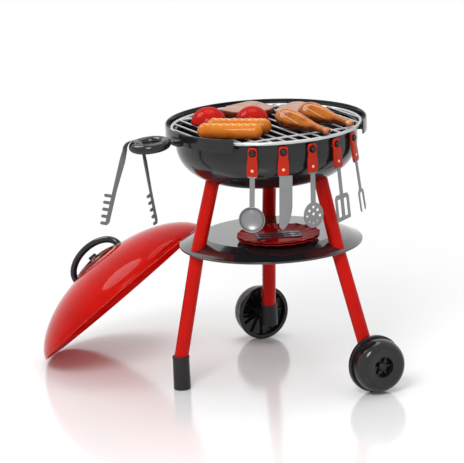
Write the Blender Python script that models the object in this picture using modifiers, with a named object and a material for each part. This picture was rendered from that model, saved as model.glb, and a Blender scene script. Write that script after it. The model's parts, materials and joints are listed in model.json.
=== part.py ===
"""Toy barbecue grill: a kettle on three legs with two wheels, its lid, utensils and pretend food.

Metres, +Z up. The grill's axis is Z while the pieces are made; the ring handle and the capped leg
are on the -X side, the two wheeled legs on the +X side, and the five utensil pegs face -Y. At the
end the whole set is moved so that the origin lies on the floor, under the middle of its footprint.
"""
import bmesh
import bpy
from math import acos, asin, atan2, cos, degrees, inf, pi, radians, sin, sqrt, tan
from mathutils import Matrix, Vector

MM = 0.001

# Clearances and making sizes
GAP = 0.3 * MM
OVERRUN = 4 * MM
MERGE = 0.02 * MM
ROUND_STEPS = 32

# Kettle bowl
BOWL_RIM_HEIGHT = 534 * MM
BOWL_RIM_RADIUS = 205 * MM
BOWL_BAND_DEPTH = 27 * MM
BOWL_WALL = 3 * MM
BOWL_OVERHANG = 20 * MM
BOWL_BODY_RADIUS = BOWL_RIM_RADIUS - BOWL_OVERHANG
BOWL_FLOOR_RADIUS = 80 * MM
BOWL_DEPTH = 124 * MM
BOWL_FLOOR_HEIGHT = BOWL_RIM_HEIGHT - BOWL_DEPTH
BOWL_CURVE_HEIGHT = 78 * MM
BOWL_EDGE_ROUND = 1.2 * MM
NOTCH_HALF_ANGLE = 46

# Grate
GRATE_RING_INSET = 12.5 * MM
GRATE_RING_RADIUS = BOWL_RIM_RADIUS - GRATE_RING_INSET
GRATE_RING_BAR_RADIUS = 3.4 * MM
GRATE_BAR_RADIUS = 1.9 * MM
GRATE_BAR_SIDES = 6
GRATE_BAR_PITCH = 25.5 * MM
GRATE_CHORD_RADIUS = 2.4 * MM
GRATE_CHORD_OFFSET = 143 * MM
GRATE_SINK = 11 * MM
GRATE_HEIGHT = BOWL_RIM_HEIGHT - GRATE_SINK

# Utensil pegs
PEG_COUNT = 5
PEG_MIDDLE_ANGLE = -89
PEG_PITCH_ANGLE = 18.4
PEG_DROP = 29 * MM
PEG_HEIGHT = BOWL_RIM_HEIGHT - PEG_DROP
PEG_RADIUS = 5.5 * MM
PEG_PROUD = 4 * MM
PEG_KNOB_ROUND = 1.5 * MM

# Ring handle on the bowl
RING_REACH = 57.5 * MM
RING_CENTRE = BOWL_RIM_RADIUS + RING_REACH
RING_DROP = 19 * MM
RING_HEIGHT = BOWL_RIM_HEIGHT - RING_DROP
RING_RADIUS = 32.5 * MM
RING_BAR_RADIUS = 10 * MM
RING_TILT = 5
RING_STEPS = 24
RING_ARM_WIDTH = 20 * MM
RING_ARM_THICKNESS = 9 * MM
RING_PAD_WIDTH = 48 * MM
RING_PAD_HEIGHT = 17 * MM
RING_PAD_THICKNESS = 4 * MM
RING_PAD_RISE = 7 * MM

# Legs
LEG_RADIUS = 14.3 * MM
LEG_WALL = 2.4 * MM
LEG_TOP_RISE = 10 * MM
LEG_TOP_HEIGHT = BOWL_FLOOR_HEIGHT + LEG_TOP_RISE
LEG_TOP_SPREAD = 127 * MM
SHELF_TOP_HEIGHT = 298 * MM
LEG_JOINT_DROP = 21 * MM
LEG_JOINT_HEIGHT = SHELF_TOP_HEIGHT - LEG_JOINT_DROP
LEG_JOINT_SPREAD = 168.5 * MM
LEG_END_DEPTH = 14 * MM
LEG_SPIGOT_LENGTH = 12 * MM
LEG_SIDES = 12
LEG_JOINT_EASE = 1.1
FOOT_LEG_ANGLE = 180
FOOT_SPREAD = 218.5 * MM
WHEEL_LEG_TOP_ANGLE = 61
WHEEL_LEG_JOINT_ANGLE = 64
WHEEL_LEG_END_ANGLE = 65.5
WHEEL_LEG_SPREAD = 238.5 * MM

# Foot cap and wheel leg caps
CAP_RADIUS = 17.5 * MM
CAP_ROUND = 3 * MM
CAP_SIDES = 12
FOOT_CAP_HEIGHT = 70 * MM
WHEEL_CAP_TOP = 83 * MM
WHEEL_CAP_HEIGHT = 46 * MM

# Wheels, axles and hub caps
WHEEL_RADIUS = 58 * MM
WHEEL_FLANGE = 4 * MM
WHEEL_FLANGE_WIDTH = 10 * MM
WHEEL_WIDTH = 48 * MM
WHEEL_SPACER = 7 * MM
WHEEL_BORE_CLEARANCE = 0.5 * MM
WHEEL_HUB_RADIUS = 11 * MM
WHEEL_RECESS_RADIUS = 21 * MM
WHEEL_RECESS_DEPTH = 13 * MM
WHEEL_BACK_RIM = 8 * MM
WHEEL_BACK_DEPTH = 16 * MM
WHEEL_SIDES = 20
WHEEL_RIB_COUNT = 6
WHEEL_RIB_WIDTH = 2.4 * MM
WHEEL_RECESS_LIP_SHARE = 0.93
WHEEL_RIB_LOW_SHARE = 0.8
AXLE_RADIUS = 4 * MM
AXLE_SINK = 11 * MM
HUB_CAP_RADIUS = 9 * MM
HUB_CAP_HEIGHT = 8 * MM
HUB_CAP_SINK = 4 * MM

# Shelf
SHELF_TOP_RADIUS = 138.5 * MM
SHELF_SKIRT = 49.5 * MM
SHELF_RIM_RADIUS = SHELF_TOP_RADIUS + SHELF_SKIRT
SHELF_DROP = 17 * MM
SHELF_LIP = 5 * MM
SHELF_WALL = 2.5 * MM
SHELF_BELLY = 1.8 * MM
SHELF_EDGE_ROUND = 3 * MM

# Lid
LID_RADIUS = 215 * MM
LID_HEIGHT = 88.5 * MM
LID_LIP = 5 * MM
LID_BEAD = 2 * MM
LID_BEAD_HEIGHT = 4 * MM
LID_WALL = 2.4 * MM
LID_TOP_RADIUS = 56 * MM
LID_CURVE_ANGLES = (76, 62, 48, 35, 22, 10, 0)
LID_LEAN_ANGLE = -45.4
LID_ACROSS = 48.6 * MM
LID_SETBACK = 3.4 * MM
LID_RADIUS_POWER_SHARE = 0.88
LID_HEIGHT_POWER_SHARE = 1.42

# Vent on the lid
VENT_RADIUS = 52 * MM
VENT_RIM_WIDTH = 6.5 * MM
VENT_RIM_HEIGHT = 5 * MM
VENT_HUB_RADIUS = 14 * MM
VENT_HUB_WIDTH = 3 * MM
VENT_HUB_HEIGHT = 12 * MM
VENT_RIB_COUNT = 10
VENT_RIB_WIDTH = 3.2 * MM
VENT_RIB_THICKNESS = 3 * MM
DAMPER_THICKNESS = 1.6 * MM
DAMPER_HOLE_COUNT = 4
DAMPER_HOLE_RADIUS = 8 * MM
DAMPER_HOLE_SPREAD = 29 * MM
VENT_KNOB_RADIUS = 9 * MM
VENT_KNOB_HEIGHT = 6 * MM
VENT_KNOB_ROUND = 2 * MM
VENT_PIN_RADIUS = 4 * MM

# Lid handle
LID_HANDLE_HALF_SPAN = 64.5 * MM
LID_HANDLE_RISE = 37 * MM
LID_HANDLE_BAR_RADIUS = 7 * MM
LID_HANDLE_STEPS = 14

# Utensils
UTENSIL_SWAYS = (-2.9, -2.3, -1.2, 3.4, 6.5)
UTENSIL_LEANS = (0, 0, 0, 2, 4)
HANDLE_WIDTH = 22.5 * MM
HANDLE_WAIST = 19 * MM
HANDLE_LENGTH = 58.5 * MM
HANDLE_THICKNESS = 5.5 * MM
HANDLE_TOP = 10.5 * MM
HANDLE_HOLE_RADIUS = 7 * MM
HANDLE_HOLE_SIDES = 12
HANDLE_STANDOFF = 3.2 * MM
HANDLE_NECK = 12 * MM
HANDLE_CORNER = 3 * MM
BLADE_THICKNESS = 2.6 * MM
STICK_WIDTH = 10.5 * MM
SLIM_STICK_SHARE = 0.8
LADLE_DEPTH = 136 * MM
LADLE_RADIUS = 26.5 * MM
LADLE_CUP_DEPTH = 13 * MM
LADLE_WALL = 2 * MM
KNIFE_LENGTH = 161 * MM
KNIFE_SPINE = 8 * MM
KNIFE_BELLY = 18.5 * MM
KNIFE_BELLY_START_SHARE = 0.66
KNIFE_TIP_START_SHARE = 0.95
SKIMMER_DEPTH = 135.5 * MM
SKIMMER_WIDTH = 44 * MM
SKIMMER_HEIGHT = 52 * MM
SKIMMER_HOLE_RADIUS = 3 * MM
SKIMMER_HOLE_SHARES = ((0, 0.62), (-0.42, 0.36), (0.42, 0.36), (-0.66, -0.08), (0, 0.08), (0.66, -0.08),
                       (-0.40, -0.50), (0.40, -0.50), (0, -0.66))
SPATULA_TOP = 105 * MM
SPATULA_LENGTH = 160 * MM
SPATULA_WIDTH = 40 * MM
SPATULA_SHOULDER = 7 * MM
SPATULA_FRAME = 6 * MM
SPATULA_SPINE = 8 * MM
SPATULA_SLANT = 3 * MM
SPATULA_SHOULDER_SHARE = 0.8
SPATULA_HEAD_SHARE = 1.5
FORK_YOKE = 108 * MM
FORK_LENGTH = 156 * MM
FORK_WIDTH = 24 * MM
FORK_TINE = 5 * MM
FORK_YOKE_HEIGHT = 14 * MM

# Tongs
TONGS_LENGTH = 158.5 * MM
TONGS_WIDTH = 12 * MM
TONGS_SPINE = 8.5 * MM
TONGS_THICKNESS = 2.6 * MM
TONGS_COMB_THICKNESS = 3 * MM
TONGS_BEND = 18 * MM
TONGS_TWIST_LIFT = 1.1 * MM
TONGS_BEND_STEPS = 6
TONGS_OUTER_REACH = 60.5 * MM
TONGS_INNER_REACH = 39.5 * MM
TONGS_TOOTH = 15 * MM
TONGS_TOOTH_TAPER = 1.2 * MM
TONGS_TOOTH_HEIGHT = 6.5 * MM
TONGS_TOOTH_COUNT = 5
TONGS_TOOTH_PITCH = 14.4 * MM
TONGS_SHOULDER = 9 * MM
TONGS_ANGLE = 153
TONGS_OUTER_TWIST = 75
TONGS_BEND_TWIST = 45
TONGS_INNER_TWIST = 25
TONGS_EASE_SHARES = (0.0, 0.04, 0.09, 0.15, 0.21)

# Plates
PLATE_RADIUS = 84 * MM
PLATE_BASE_RADIUS = 54 * MM
PLATE_RISE = 5.5 * MM
PLATE_WALL = 1.6 * MM
PLATE_FOOT = 2.2 * MM
PLATE_FOOT_RADIUS = 46 * MM
PLATE_FLUTES = 10
PLATE_FLUTE_STEPS = 2
PLATE_FLUTE_DEPTH = 1.6 * MM
PLATE_SIDE_SHARE = 1.12
PLATE_SIDE_RISE_SHARE = 0.45
PLATE_SIDE_FLUTE_SHARE = 0.5
PLATE_X = -19.5 * MM
PLATE_Y = -72 * MM
PLATE_SHIFT = 1.5 * MM

# Cutlery on the plates
CUTLERY_LENGTH = 92 * MM
CUTLERY_THICKNESS = 2 * MM
CUTLERY_HEAD = 13 * MM
CUTLERY_PITCH = 17 * MM
CUTLERY_TURN = -20
TABLE_KNIFE_SHARES = ((-1.0, -0.54), (0.18, -0.54), (0.95, -0.81), (1.0, 0.22), (0.9, 0.54), (-1.0, 0.54))
TABLE_FORK_SHARES = ((-1.0, 0.54), (-1.0, -0.54), (0.45, -0.32), (0.56, -1.0), (1.0, -1.0), (1.0, -0.6),
                     (0.72, -0.6), (0.72, -0.2), (1.0, -0.2), (1.0, 0.2), (0.72, 0.2), (0.72, 0.6), (1.0, 0.6),
                     (1.0, 1.0), (0.56, 1.0), (0.45, 0.32))
SPOON_NECK_SHARE = 0.45
SPOON_STEM_SHARES = ((-1.0, 0.54), (-1.0, -0.54), (0.45, -0.32))
SPOON_NECK_CORNER_SHARES = (0.45, 0.32)

# Food, and its places on the grate from the grill's axis
SAUSAGE_RADIUS = 15.5 * MM
SAUSAGE_LENGTH = 133 * MM
SAUSAGE_BOW = 4 * MM
SAUSAGE_TURN = -40
SAUSAGE_FRONT_X = -131.5 * MM
SAUSAGE_FRONT_Y = -98 * MM
SAUSAGE_BACK_X = -95 * MM
SAUSAGE_BACK_Y = -66 * MM
TOMATO_RADIUS = 34 * MM
TOMATO_HEIGHT = 31 * MM
TOMATO_FOOT_SHARE = 0.95
TOMATO_LEFT_GROWTH = 1.08
TOMATO_RIGHT_GROWTH = 1.0
TOMATO_LEFT_X = -97 * MM
TOMATO_LEFT_Y = 66 * MM
TOMATO_RIGHT_X = -17 * MM
TOMATO_RIGHT_Y = 28 * MM
STEAK_LENGTH = 104 * MM
STEAK_WIDTH = 112 * MM
STEAK_THICKNESS = 13 * MM
STEAK_CORNER = 14 * MM
STEAK_LEFT_SHARES = ((-1.0, 0.31), (-0.5, 0.66), (0.69, 1.0), (0.92, 0.72), (1.0, -0.5), (0.6, -0.84),
                     (0.25, -0.94), (-0.77, -0.45))
STEAK_LEFT_X = 10 * MM
STEAK_LEFT_Y = 108 * MM
STEAK_RIGHT_SHARES = ((-0.94, -0.2), (-0.42, 0.28), (0.39, 0.8), (0.78, 0.7), (0.94, 0.14), (0.62, -0.57),
                      (-0.06, -0.84), (-0.63, -0.75))
STEAK_RIGHT_X = 88 * MM
STEAK_RIGHT_Y = 52 * MM
DRUMSTICK_RADIUS = 21.5 * MM
DRUMSTICK_FRONT_LENGTH = 149 * MM
DRUMSTICK_BACK_LENGTH = 140 * MM
DRUMSTICK_MIDDLE_SHARE = 0.26
DRUMSTICK_SHARES = ((0.02, 0.32), (0.08, 0.66), (0.17, 0.93), (0.26, 1.0), (0.38, 0.92), (0.5, 0.75),
                    (0.62, 0.56), (0.74, 0.39), (0.85, 0.32), (0.93, 0.42), (0.985, 0.33))
DRUMSTICK_FRONT_X = 7 * MM
DRUMSTICK_FRONT_Y = -92 * MM
DRUMSTICK_FRONT_TURN = -71
DRUMSTICK_FRONT_BED = 1.1 * MM
DRUMSTICK_BACK_X = 72 * MM
DRUMSTICK_BACK_Y = -70 * MM
DRUMSTICK_BACK_TURN = -67
DRUMSTICK_BACK_BED = 0 * MM

PALETTE = {
    "black_gloss": ((0.012, 0.012, 0.013), 0.25, 0.0),
    "red_gloss": ((0.70, 0.015, 0.008), 0.22, 0.0),
    "red_satin": ((0.66, 0.018, 0.010), 0.38, 0.0),
    "black_satin": ((0.020, 0.020, 0.021), 0.45, 0.0),
    "grate_grey": ((0.48, 0.48, 0.49), 0.35, 0.2),
    "silver_plastic": ((0.30, 0.31, 0.32), 0.32, 0.4),
    "steel": ((0.55, 0.55, 0.56), 0.25, 1.0),
    "sausage_brown": ((0.62, 0.22, 0.035), 0.30, 0.0),
    "tomato_red": ((0.65, 0.030, 0.010), 0.28, 0.0),
    "steak_brown": ((0.42, 0.17, 0.09), 0.50, 0.0),
    "chicken_brown": ((0.50, 0.16, 0.035), 0.30, 0.0),
    "cutlery_grey": ((0.06, 0.06, 0.065), 0.25, 0.3),
}


def clear_scene():
    """Empty the scene, whatever file the script runs in."""
    for thing in list(bpy.data.objects):
        bpy.data.objects.remove(thing, do_unlink=True)


def make_collection(name):
    group = bpy.data.collections.new(name)
    bpy.context.scene.collection.children.link(group)
    return group


def finish(name):
    """One Principled material for each finish in the palette."""
    found = bpy.data.materials.get(name)
    if found:
        return found
    colour, roughness, metallic = PALETTE[name]
    made = bpy.data.materials.new(name)
    made.use_nodes = True
    shader = made.node_tree.nodes["Principled BSDF"]
    shader.inputs["Base Color"].default_value = (*colour, 1)
    shader.inputs["Roughness"].default_value = roughness
    shader.inputs["Metallic"].default_value = metallic
    made.diffuse_color = (*colour, 1)
    return made


def add_piece(name, data, coat, place=None):
    """Put a mesh or curve in the set as one named piece."""
    piece = bpy.data.objects.new(name, data)
    PIECES.objects.link(piece)
    piece.data.materials.append(finish(coat))
    piece.parent = STAND
    if place is not None:
        piece.matrix_basis = place
    return piece


def add_cutter(name, data, place=None):
    """A shape that only cuts or joins other pieces."""
    cutter = bpy.data.objects.new(name, data)
    CUTTERS.objects.link(cutter)
    cutter.parent = STAND
    cutter.hide_render = True
    cutter.display_type = "WIRE"
    if place is not None:
        cutter.matrix_basis = place
    return cutter


def smooth(data, angle=35):
    data.shade_smooth()
    data.set_sharp_from_angle(angle=radians(angle))


def combine(piece, other, operation):
    """Boolean the other shape into or out of the piece."""
    cut = piece.modifiers.new(operation.lower() + "_" + other.name, "BOOLEAN")
    cut.operation = operation
    cut.object = other
    cut.solver = "EXACT"
    return cut


def baked(piece):
    """A plain mesh of a curve or of a piece with modifiers, its end caps welded."""
    bpy.context.view_layer.update()
    seen = piece.evaluated_get(bpy.context.evaluated_depsgraph_get())
    data = bpy.data.meshes.new_from_object(seen)
    shape = bmesh.new()
    shape.from_mesh(data)
    bmesh.ops.remove_doubles(shape, verts=shape.verts, dist=MERGE)
    shape.to_mesh(data)
    shape.free()
    place = piece.matrix_basis.copy()
    bpy.data.objects.remove(piece, do_unlink=True)
    return data, place


def facing(spot, direction):
    """A place at a spot whose +Z points in a direction."""
    turn = Vector(direction).to_track_quat("Z", "Y").to_matrix().to_4x4()
    return Matrix.Translation(spot) @ turn


def along(start, end):
    """A place at start whose +Z points to end, and the distance between them."""
    run = Vector(end) - Vector(start)
    return facing(start, run), run.length


def polar(radius, angle, height=0.0):
    return Vector((radius * cos(radians(angle)), radius * sin(radians(angle)), height))


def profile_mesh(name, points, closed):
    """Points (radius, height) as a chain of edges in the XZ plane."""
    data = bpy.data.meshes.new(name)
    shape = bmesh.new()
    corners = [shape.verts.new((radius, 0.0, height)) for radius, height in points]
    for first, second in zip(corners, corners[1:]):
        shape.edges.new((first, second))
    if closed:
        shape.edges.new((corners[-1], corners[0]))
    shape.to_mesh(data)
    shape.free()
    return data


def screw(piece, steps):
    turn = piece.modifiers.new("turn", "SCREW")
    turn.steps = steps
    turn.render_steps = steps
    turn.use_merge_vertices = True
    turn.merge_threshold = MERGE
    turn.use_smooth_shade = True
    return turn


def turned(name, points, coat, place=None, closed=False, steps=ROUND_STEPS):
    """A solid of revolution; its profile runs down the outer side."""
    piece = add_piece(name, profile_mesh(name, points, closed), coat, place)
    screw(piece, steps)
    return piece


def turned_cutter(name, points, place=None, closed=False, steps=ROUND_STEPS):
    cutter = add_cutter(name, profile_mesh(name, points, closed), place)
    screw(cutter, steps)
    return cutter


def cylinder_mesh(name, radius, low, high, sides):
    """A closed cylinder along its own Z axis, from low to high."""
    data = bpy.data.meshes.new(name)
    shape = bmesh.new()
    move = Matrix.Translation((0.0, 0.0, (low + high) / 2))
    bmesh.ops.create_cone(shape, cap_ends=True, segments=sides, radius1=radius, radius2=radius,
                          depth=high - low, matrix=move)
    shape.to_mesh(data)
    shape.free()
    smooth(data)
    return data


def cylinder_cutter(name, radius, low, high, place, sides=12):
    return add_cutter(name, cylinder_mesh(name, radius, low, high, sides), place)


def arc(centre_x, centre_y, radius_x, radius_y, start, end, steps):
    """Points on an ellipse from start to end, both in degrees."""
    points = []
    for step in range(steps + 1):
        angle = radians(start + (end - start) * step / steps)
        points.append((centre_x + radius_x * cos(angle), centre_y + radius_y * sin(angle)))
    return points


def rounded(corners, steps=2):
    """An open or closed chain of (x, y, radius) corners with each corner rounded."""
    points = []
    for index, (x, y, radius) in enumerate(corners):
        if radius == 0 or index in (0, len(corners) - 1):
            points.append((x, y))
            continue
        here = Vector((x, y))
        before = Vector(corners[index - 1][:2]) - here
        after = Vector(corners[index + 1][:2]) - here
        points += corner_arc(here, before, after, radius, steps)
    return points


def corner_arc(here, before, after, radius, steps):
    half = before.angle(after) / 2
    back = min(radius / tan(half), before.length / 2, after.length / 2)
    start = here + before.normalized() * back
    end = here + after.normalized() * back
    points = []
    for step in range(steps + 1):
        share = step / steps
        first = start.lerp(here, share)
        second = here.lerp(end, share)
        points.append(tuple(first.lerp(second, share)))
    return points


def rounded_loop(corners, steps=2):
    """A closed outline of (x, y, radius) corners with each corner rounded."""
    points = []
    count = len(corners)
    for index, (x, y, radius) in enumerate(corners):
        if radius == 0:
            points.append((x, y))
            continue
        here = Vector((x, y))
        before = Vector(corners[index - 1][:2]) - here
        after = Vector(corners[(index + 1) % count][:2]) - here
        points += corner_arc(here, before, after, radius, steps)
    return points


def flat_curve(name, outlines, thickness):
    """A filled 2D curve: the first outline is the edge, the others are holes."""
    data = bpy.data.curves.new(name, "CURVE")
    data.dimensions = "2D"
    data.fill_mode = "BOTH"
    data.extrude = thickness / 2
    for outline in outlines:
        spline = data.splines.new("POLY")
        spline.points.add(len(outline) - 1)
        for point, (x, y) in zip(spline.points, outline):
            point.co = (x, y, 0.0, 1.0)
        spline.use_cyclic_u = True
    return data


def flat_piece(name, outlines, thickness, coat, place=None):
    return add_piece(name, flat_curve(name, outlines, thickness), coat, place)


def tube_curve(name, points, radius, sides=2, cyclic=False):
    data = bpy.data.curves.new(name, "CURVE")
    data.dimensions = "3D"
    data.bevel_depth = radius
    data.bevel_resolution = sides
    data.use_fill_caps = not cyclic
    spline = data.splines.new("POLY")
    spline.points.add(len(points) - 1)
    for point, place in zip(spline.points, points):
        point.co = (*place, 1.0)
    spline.use_cyclic_u = cyclic
    return data


def circle(radius, steps, x=0.0, y=0.0):
    return arc(x, y, radius, radius, 0, 360 * (steps - 1) / steps, steps - 1)


def block(name, low, high, place=None):
    """A box cutter between two corners."""
    data = bpy.data.meshes.new(name)
    shape = bmesh.new()
    middle = [(a + b) / 2 for a, b in zip(low, high)]
    size = [b - a for a, b in zip(low, high)]
    move = Matrix.Translation(middle) @ Matrix.Diagonal((*size, 1))
    bmesh.ops.create_cube(shape, size=1, matrix=move)
    shape.to_mesh(data)
    shape.free()
    return add_cutter(name, data, place)


def swept_strip(name, sections):
    """A closed strip through rectangular sections: (centre, half width, half thickness) vectors."""
    data = bpy.data.meshes.new(name)
    shape = bmesh.new()
    rings = []
    for centre, side, deep in sections:
        corners = (centre + side + deep, centre - side + deep, centre - side - deep, centre + side - deep)
        rings.append([shape.verts.new(corner) for corner in corners])
    for first, second in zip(rings, rings[1:]):
        for index in range(4):
            after = (index + 1) % 4
            shape.faces.new((first[index], first[after], second[after], second[index]))
    shape.faces.new(rings[0][::-1])
    shape.faces.new(rings[-1])
    bmesh.ops.recalc_face_normals(shape, faces=shape.faces)
    shape.to_mesh(data)
    shape.free()
    return data


# Bowl

def bowl_ledge():
    """Height of the ledge that the grate's ring rests on."""
    return GRATE_HEIGHT - GRATE_RING_BAR_RADIUS - GAP


def bowl_curve(grow=0.0, steps=6):
    """The rounded lower part of the bowl's outer side, from the wall down to the floor."""
    top = BOWL_FLOOR_HEIGHT + BOWL_CURVE_HEIGHT
    swing = BOWL_BODY_RADIUS - BOWL_FLOOR_RADIUS + grow
    drop = BOWL_CURVE_HEIGHT + grow
    return arc(BOWL_FLOOR_RADIUS, top, swing, drop, 0, -90, steps)


def make_bowl():
    ledge = bowl_ledge()
    under = ledge - BOWL_WALL
    band = BOWL_RIM_HEIGHT - BOWL_BAND_DEPTH
    inner_rim = BOWL_RIM_RADIUS - BOWL_WALL
    inner_body = BOWL_BODY_RADIUS - BOWL_WALL
    inside = [(0.0, BOWL_FLOOR_HEIGHT + BOWL_WALL)] + bowl_curve(-BOWL_WALL)[::-1]
    edge = [(inner_body, ledge, 0), (inner_rim, ledge, 0),
            (inner_rim, BOWL_RIM_HEIGHT, BOWL_EDGE_ROUND),
            (BOWL_RIM_RADIUS, BOWL_RIM_HEIGHT, BOWL_EDGE_ROUND),
            (BOWL_RIM_RADIUS, band, 0), (inner_rim, band, 0), (inner_rim, under, 0),
            (BOWL_BODY_RADIUS, under, 0)]
    outside = bowl_curve() + [(0.0, BOWL_FLOOR_HEIGHT)]
    bowl = turned("bowl", inside + rounded(edge, 1) + outside, "black_gloss")
    combine(bowl, notch_cutter(under), "DIFFERENCE")
    for index in range(PEG_COUNT):
        combine(bowl, peg_cutter(index), "UNION")
    return bowl


def notch_cutter(under):
    """The wedge that opens the front of the rim over the pegs."""
    reach = (BOWL_RIM_RADIUS + OVERRUN) / cos(radians(NOTCH_HALF_ANGLE))
    inner = BOWL_BODY_RADIUS
    low = BOWL_RIM_HEIGHT - BOWL_BAND_DEPTH - OVERRUN
    high = BOWL_RIM_HEIGHT + OVERRUN
    steps = 8
    left, right = -90 - NOTCH_HALF_ANGLE, -90 + NOTCH_HALF_ANGLE
    far = arc(0.0, 0.0, reach, reach, left, right, steps)
    near = arc(0.0, 0.0, inner, inner, right, left, steps)
    data = flat_curve("notch", [far + near], high - low)
    place = Matrix.Translation((0.0, 0.0, (low + high) / 2))
    solid, _ = baked(add_cutter("notch_outline", data))
    outer = add_cutter("notch", solid, place)
    return outer


def peg_angle(index):
    return PEG_MIDDLE_ANGLE + (index - (PEG_COUNT - 1) / 2) * PEG_PITCH_ANGLE


def handle_middle():
    """Distance of the hanging handles' middle plane from the grill's axis."""
    return BOWL_BODY_RADIUS + HANDLE_STANDOFF + HANDLE_THICKNESS / 2


def peg_cutter(index):
    """One peg on the bowl's front, with a rounded end that stands proud of the handle."""
    root = BOWL_BODY_RADIUS - BOWL_WALL / 2
    tip = handle_middle() + HANDLE_THICKNESS / 2 + PEG_PROUD
    place, length = along(polar(root, peg_angle(index), PEG_HEIGHT), polar(tip, peg_angle(index), PEG_HEIGHT))
    corners = [(0.0, length, 0), (PEG_RADIUS, length, PEG_KNOB_ROUND), (PEG_RADIUS, 0.0, 0), (0.0, 0.0, 0)]
    return turned_cutter("peg_%d" % (index + 1), rounded(corners, 1), place, steps=12)


def bowl_envelope(name):
    """The bowl's outer form with the clearance added, which trims what seats against it."""
    top = BOWL_RIM_HEIGHT + GAP
    low = band_low() - GAP
    rim, body = BOWL_RIM_RADIUS + GAP, BOWL_BODY_RADIUS + GAP
    band = [(0.0, top), (rim, top), (rim, low), (body, low)]
    return turned_cutter(name, band + bowl_curve(GAP) + [(0.0, BOWL_FLOOR_HEIGHT - GAP)])


# Grate

def grate_top():
    """The ring, the bars and the cross bars are level on top."""
    return GRATE_HEIGHT + GRATE_RING_BAR_RADIUS


def make_grate():
    ring = [(GRATE_RING_RADIUS * cos(radians(a)), GRATE_RING_RADIUS * sin(radians(a)), GRATE_HEIGHT)
            for a in [360 * n / ROUND_STEPS for n in range(ROUND_STEPS)]]
    data, _ = baked(add_piece("grate_ring", tube_curve("grate_ring", ring, GRATE_RING_BAR_RADIUS, 1, True),
                              "grate_grey"))
    grate = add_piece("grate", data, "grate_grey")
    smooth(grate.data)
    side_count = int((GRATE_RING_RADIUS - GRATE_RING_BAR_RADIUS) / GRATE_BAR_PITCH)
    for index in range(-side_count, side_count + 1):
        offset = index * GRATE_BAR_PITCH
        half = sqrt(GRATE_RING_RADIUS ** 2 - offset ** 2)
        start = (offset, -half, grate_top() - GRATE_BAR_RADIUS)
        end = (offset, half, grate_top() - GRATE_BAR_RADIUS)
        bar = grate_rod("grate_bar_%d" % (index + side_count), start, end, GRATE_BAR_RADIUS)
        combine(grate, bar, "UNION")
    for side in (-1, 1):
        half = sqrt(GRATE_RING_RADIUS ** 2 - GRATE_CHORD_OFFSET ** 2)
        start = (-half, side * GRATE_CHORD_OFFSET, grate_top() - GRATE_CHORD_RADIUS)
        end = (half, side * GRATE_CHORD_OFFSET, grate_top() - GRATE_CHORD_RADIUS)
        chord = grate_rod("grate_chord_%d" % (side + 1), start, end, GRATE_CHORD_RADIUS)
        combine(grate, chord, "UNION")
    return grate


def grate_rod(name, start, end, radius):
    place, length = along(start, end)
    return cylinder_cutter(name, radius, 0.0, length, place, GRATE_BAR_SIDES)


# Ring handle

def ring_place():
    """The loop's place: it slopes down a little away from the bowl."""
    tilt = Matrix.Rotation(radians(-RING_TILT), 4, "Y")
    return Matrix.Translation((-RING_CENTRE, 0.0, RING_HEIGHT)) @ tilt


def make_ring_handle():
    points = [(RING_RADIUS * cos(radians(a)), RING_RADIUS * sin(radians(a)), 0.0)
              for a in [360 * n / RING_STEPS for n in range(RING_STEPS)]]
    loop = add_piece("ring_loop", tube_curve("ring_loop", points, RING_BAR_RADIUS, 2, True), "black_gloss")
    data, _ = baked(loop)
    handle = add_piece("side_handle", data, "black_gloss", ring_place())
    smooth(handle.data)
    combine(handle, ring_arm(), "UNION")
    combine(handle, bowl_envelope("handle_seat"), "DIFFERENCE")
    return handle


def ring_arm():
    """The arm from the loop to its pad, which follows the band around the bowl's rim."""
    start = ring_place() @ Vector((RING_RADIUS, 0.0, 0.0))
    pad = Vector((-BOWL_RIM_RADIUS - RING_PAD_THICKNESS, 0.0, pad_height()))
    root = Vector((-BOWL_RIM_RADIUS + BOWL_WALL, 0.0, pad_height()))
    up = Vector((0.0, 0.0, 1.0))
    side = Vector((0.0, 1.0, 0.0))
    sections = [
        (start, side * RING_ARM_WIDTH / 2, up * RING_ARM_THICKNESS / 2),
        (pad, side * RING_PAD_WIDTH / 2, up * RING_PAD_HEIGHT / 2),
        (root, side * RING_PAD_WIDTH / 2, up * RING_PAD_HEIGHT / 2),
    ]
    return add_cutter("ring_arm", swept_strip("ring_arm", sections))


def band_low():
    """Lower edge of the band around the bowl's rim."""
    return BOWL_RIM_HEIGHT - BOWL_BAND_DEPTH


def pad_height():
    return band_low() + RING_PAD_RISE


# Legs, caps and wheels

def leg_points(name):
    """Top, joint and lower end of a leg's axis."""
    if name == "foot":
        return (polar(LEG_TOP_SPREAD, FOOT_LEG_ANGLE, LEG_TOP_HEIGHT),
                polar(LEG_JOINT_SPREAD, FOOT_LEG_ANGLE, LEG_JOINT_HEIGHT),
                polar(FOOT_SPREAD, FOOT_LEG_ANGLE, FOOT_CAP_HEIGHT - LEG_END_DEPTH))
    side = -1 if name == "front" else 1
    return (polar(LEG_TOP_SPREAD, side * WHEEL_LEG_TOP_ANGLE, LEG_TOP_HEIGHT),
            polar(LEG_JOINT_SPREAD, side * WHEEL_LEG_JOINT_ANGLE, LEG_JOINT_HEIGHT),
            polar(WHEEL_LEG_SPREAD, side * WHEEL_LEG_END_ANGLE, WHEEL_CAP_TOP - LEG_END_DEPTH))


def leg_bend(name):
    top, joint, end = leg_points(name)
    return (top - joint).angle(joint - end)


def joint_gap(name):
    """Distance along the axis that keeps the two bent tubes' ends apart."""
    return GAP + LEG_RADIUS * sin(leg_bend(name)) * LEG_JOINT_EASE


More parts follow.
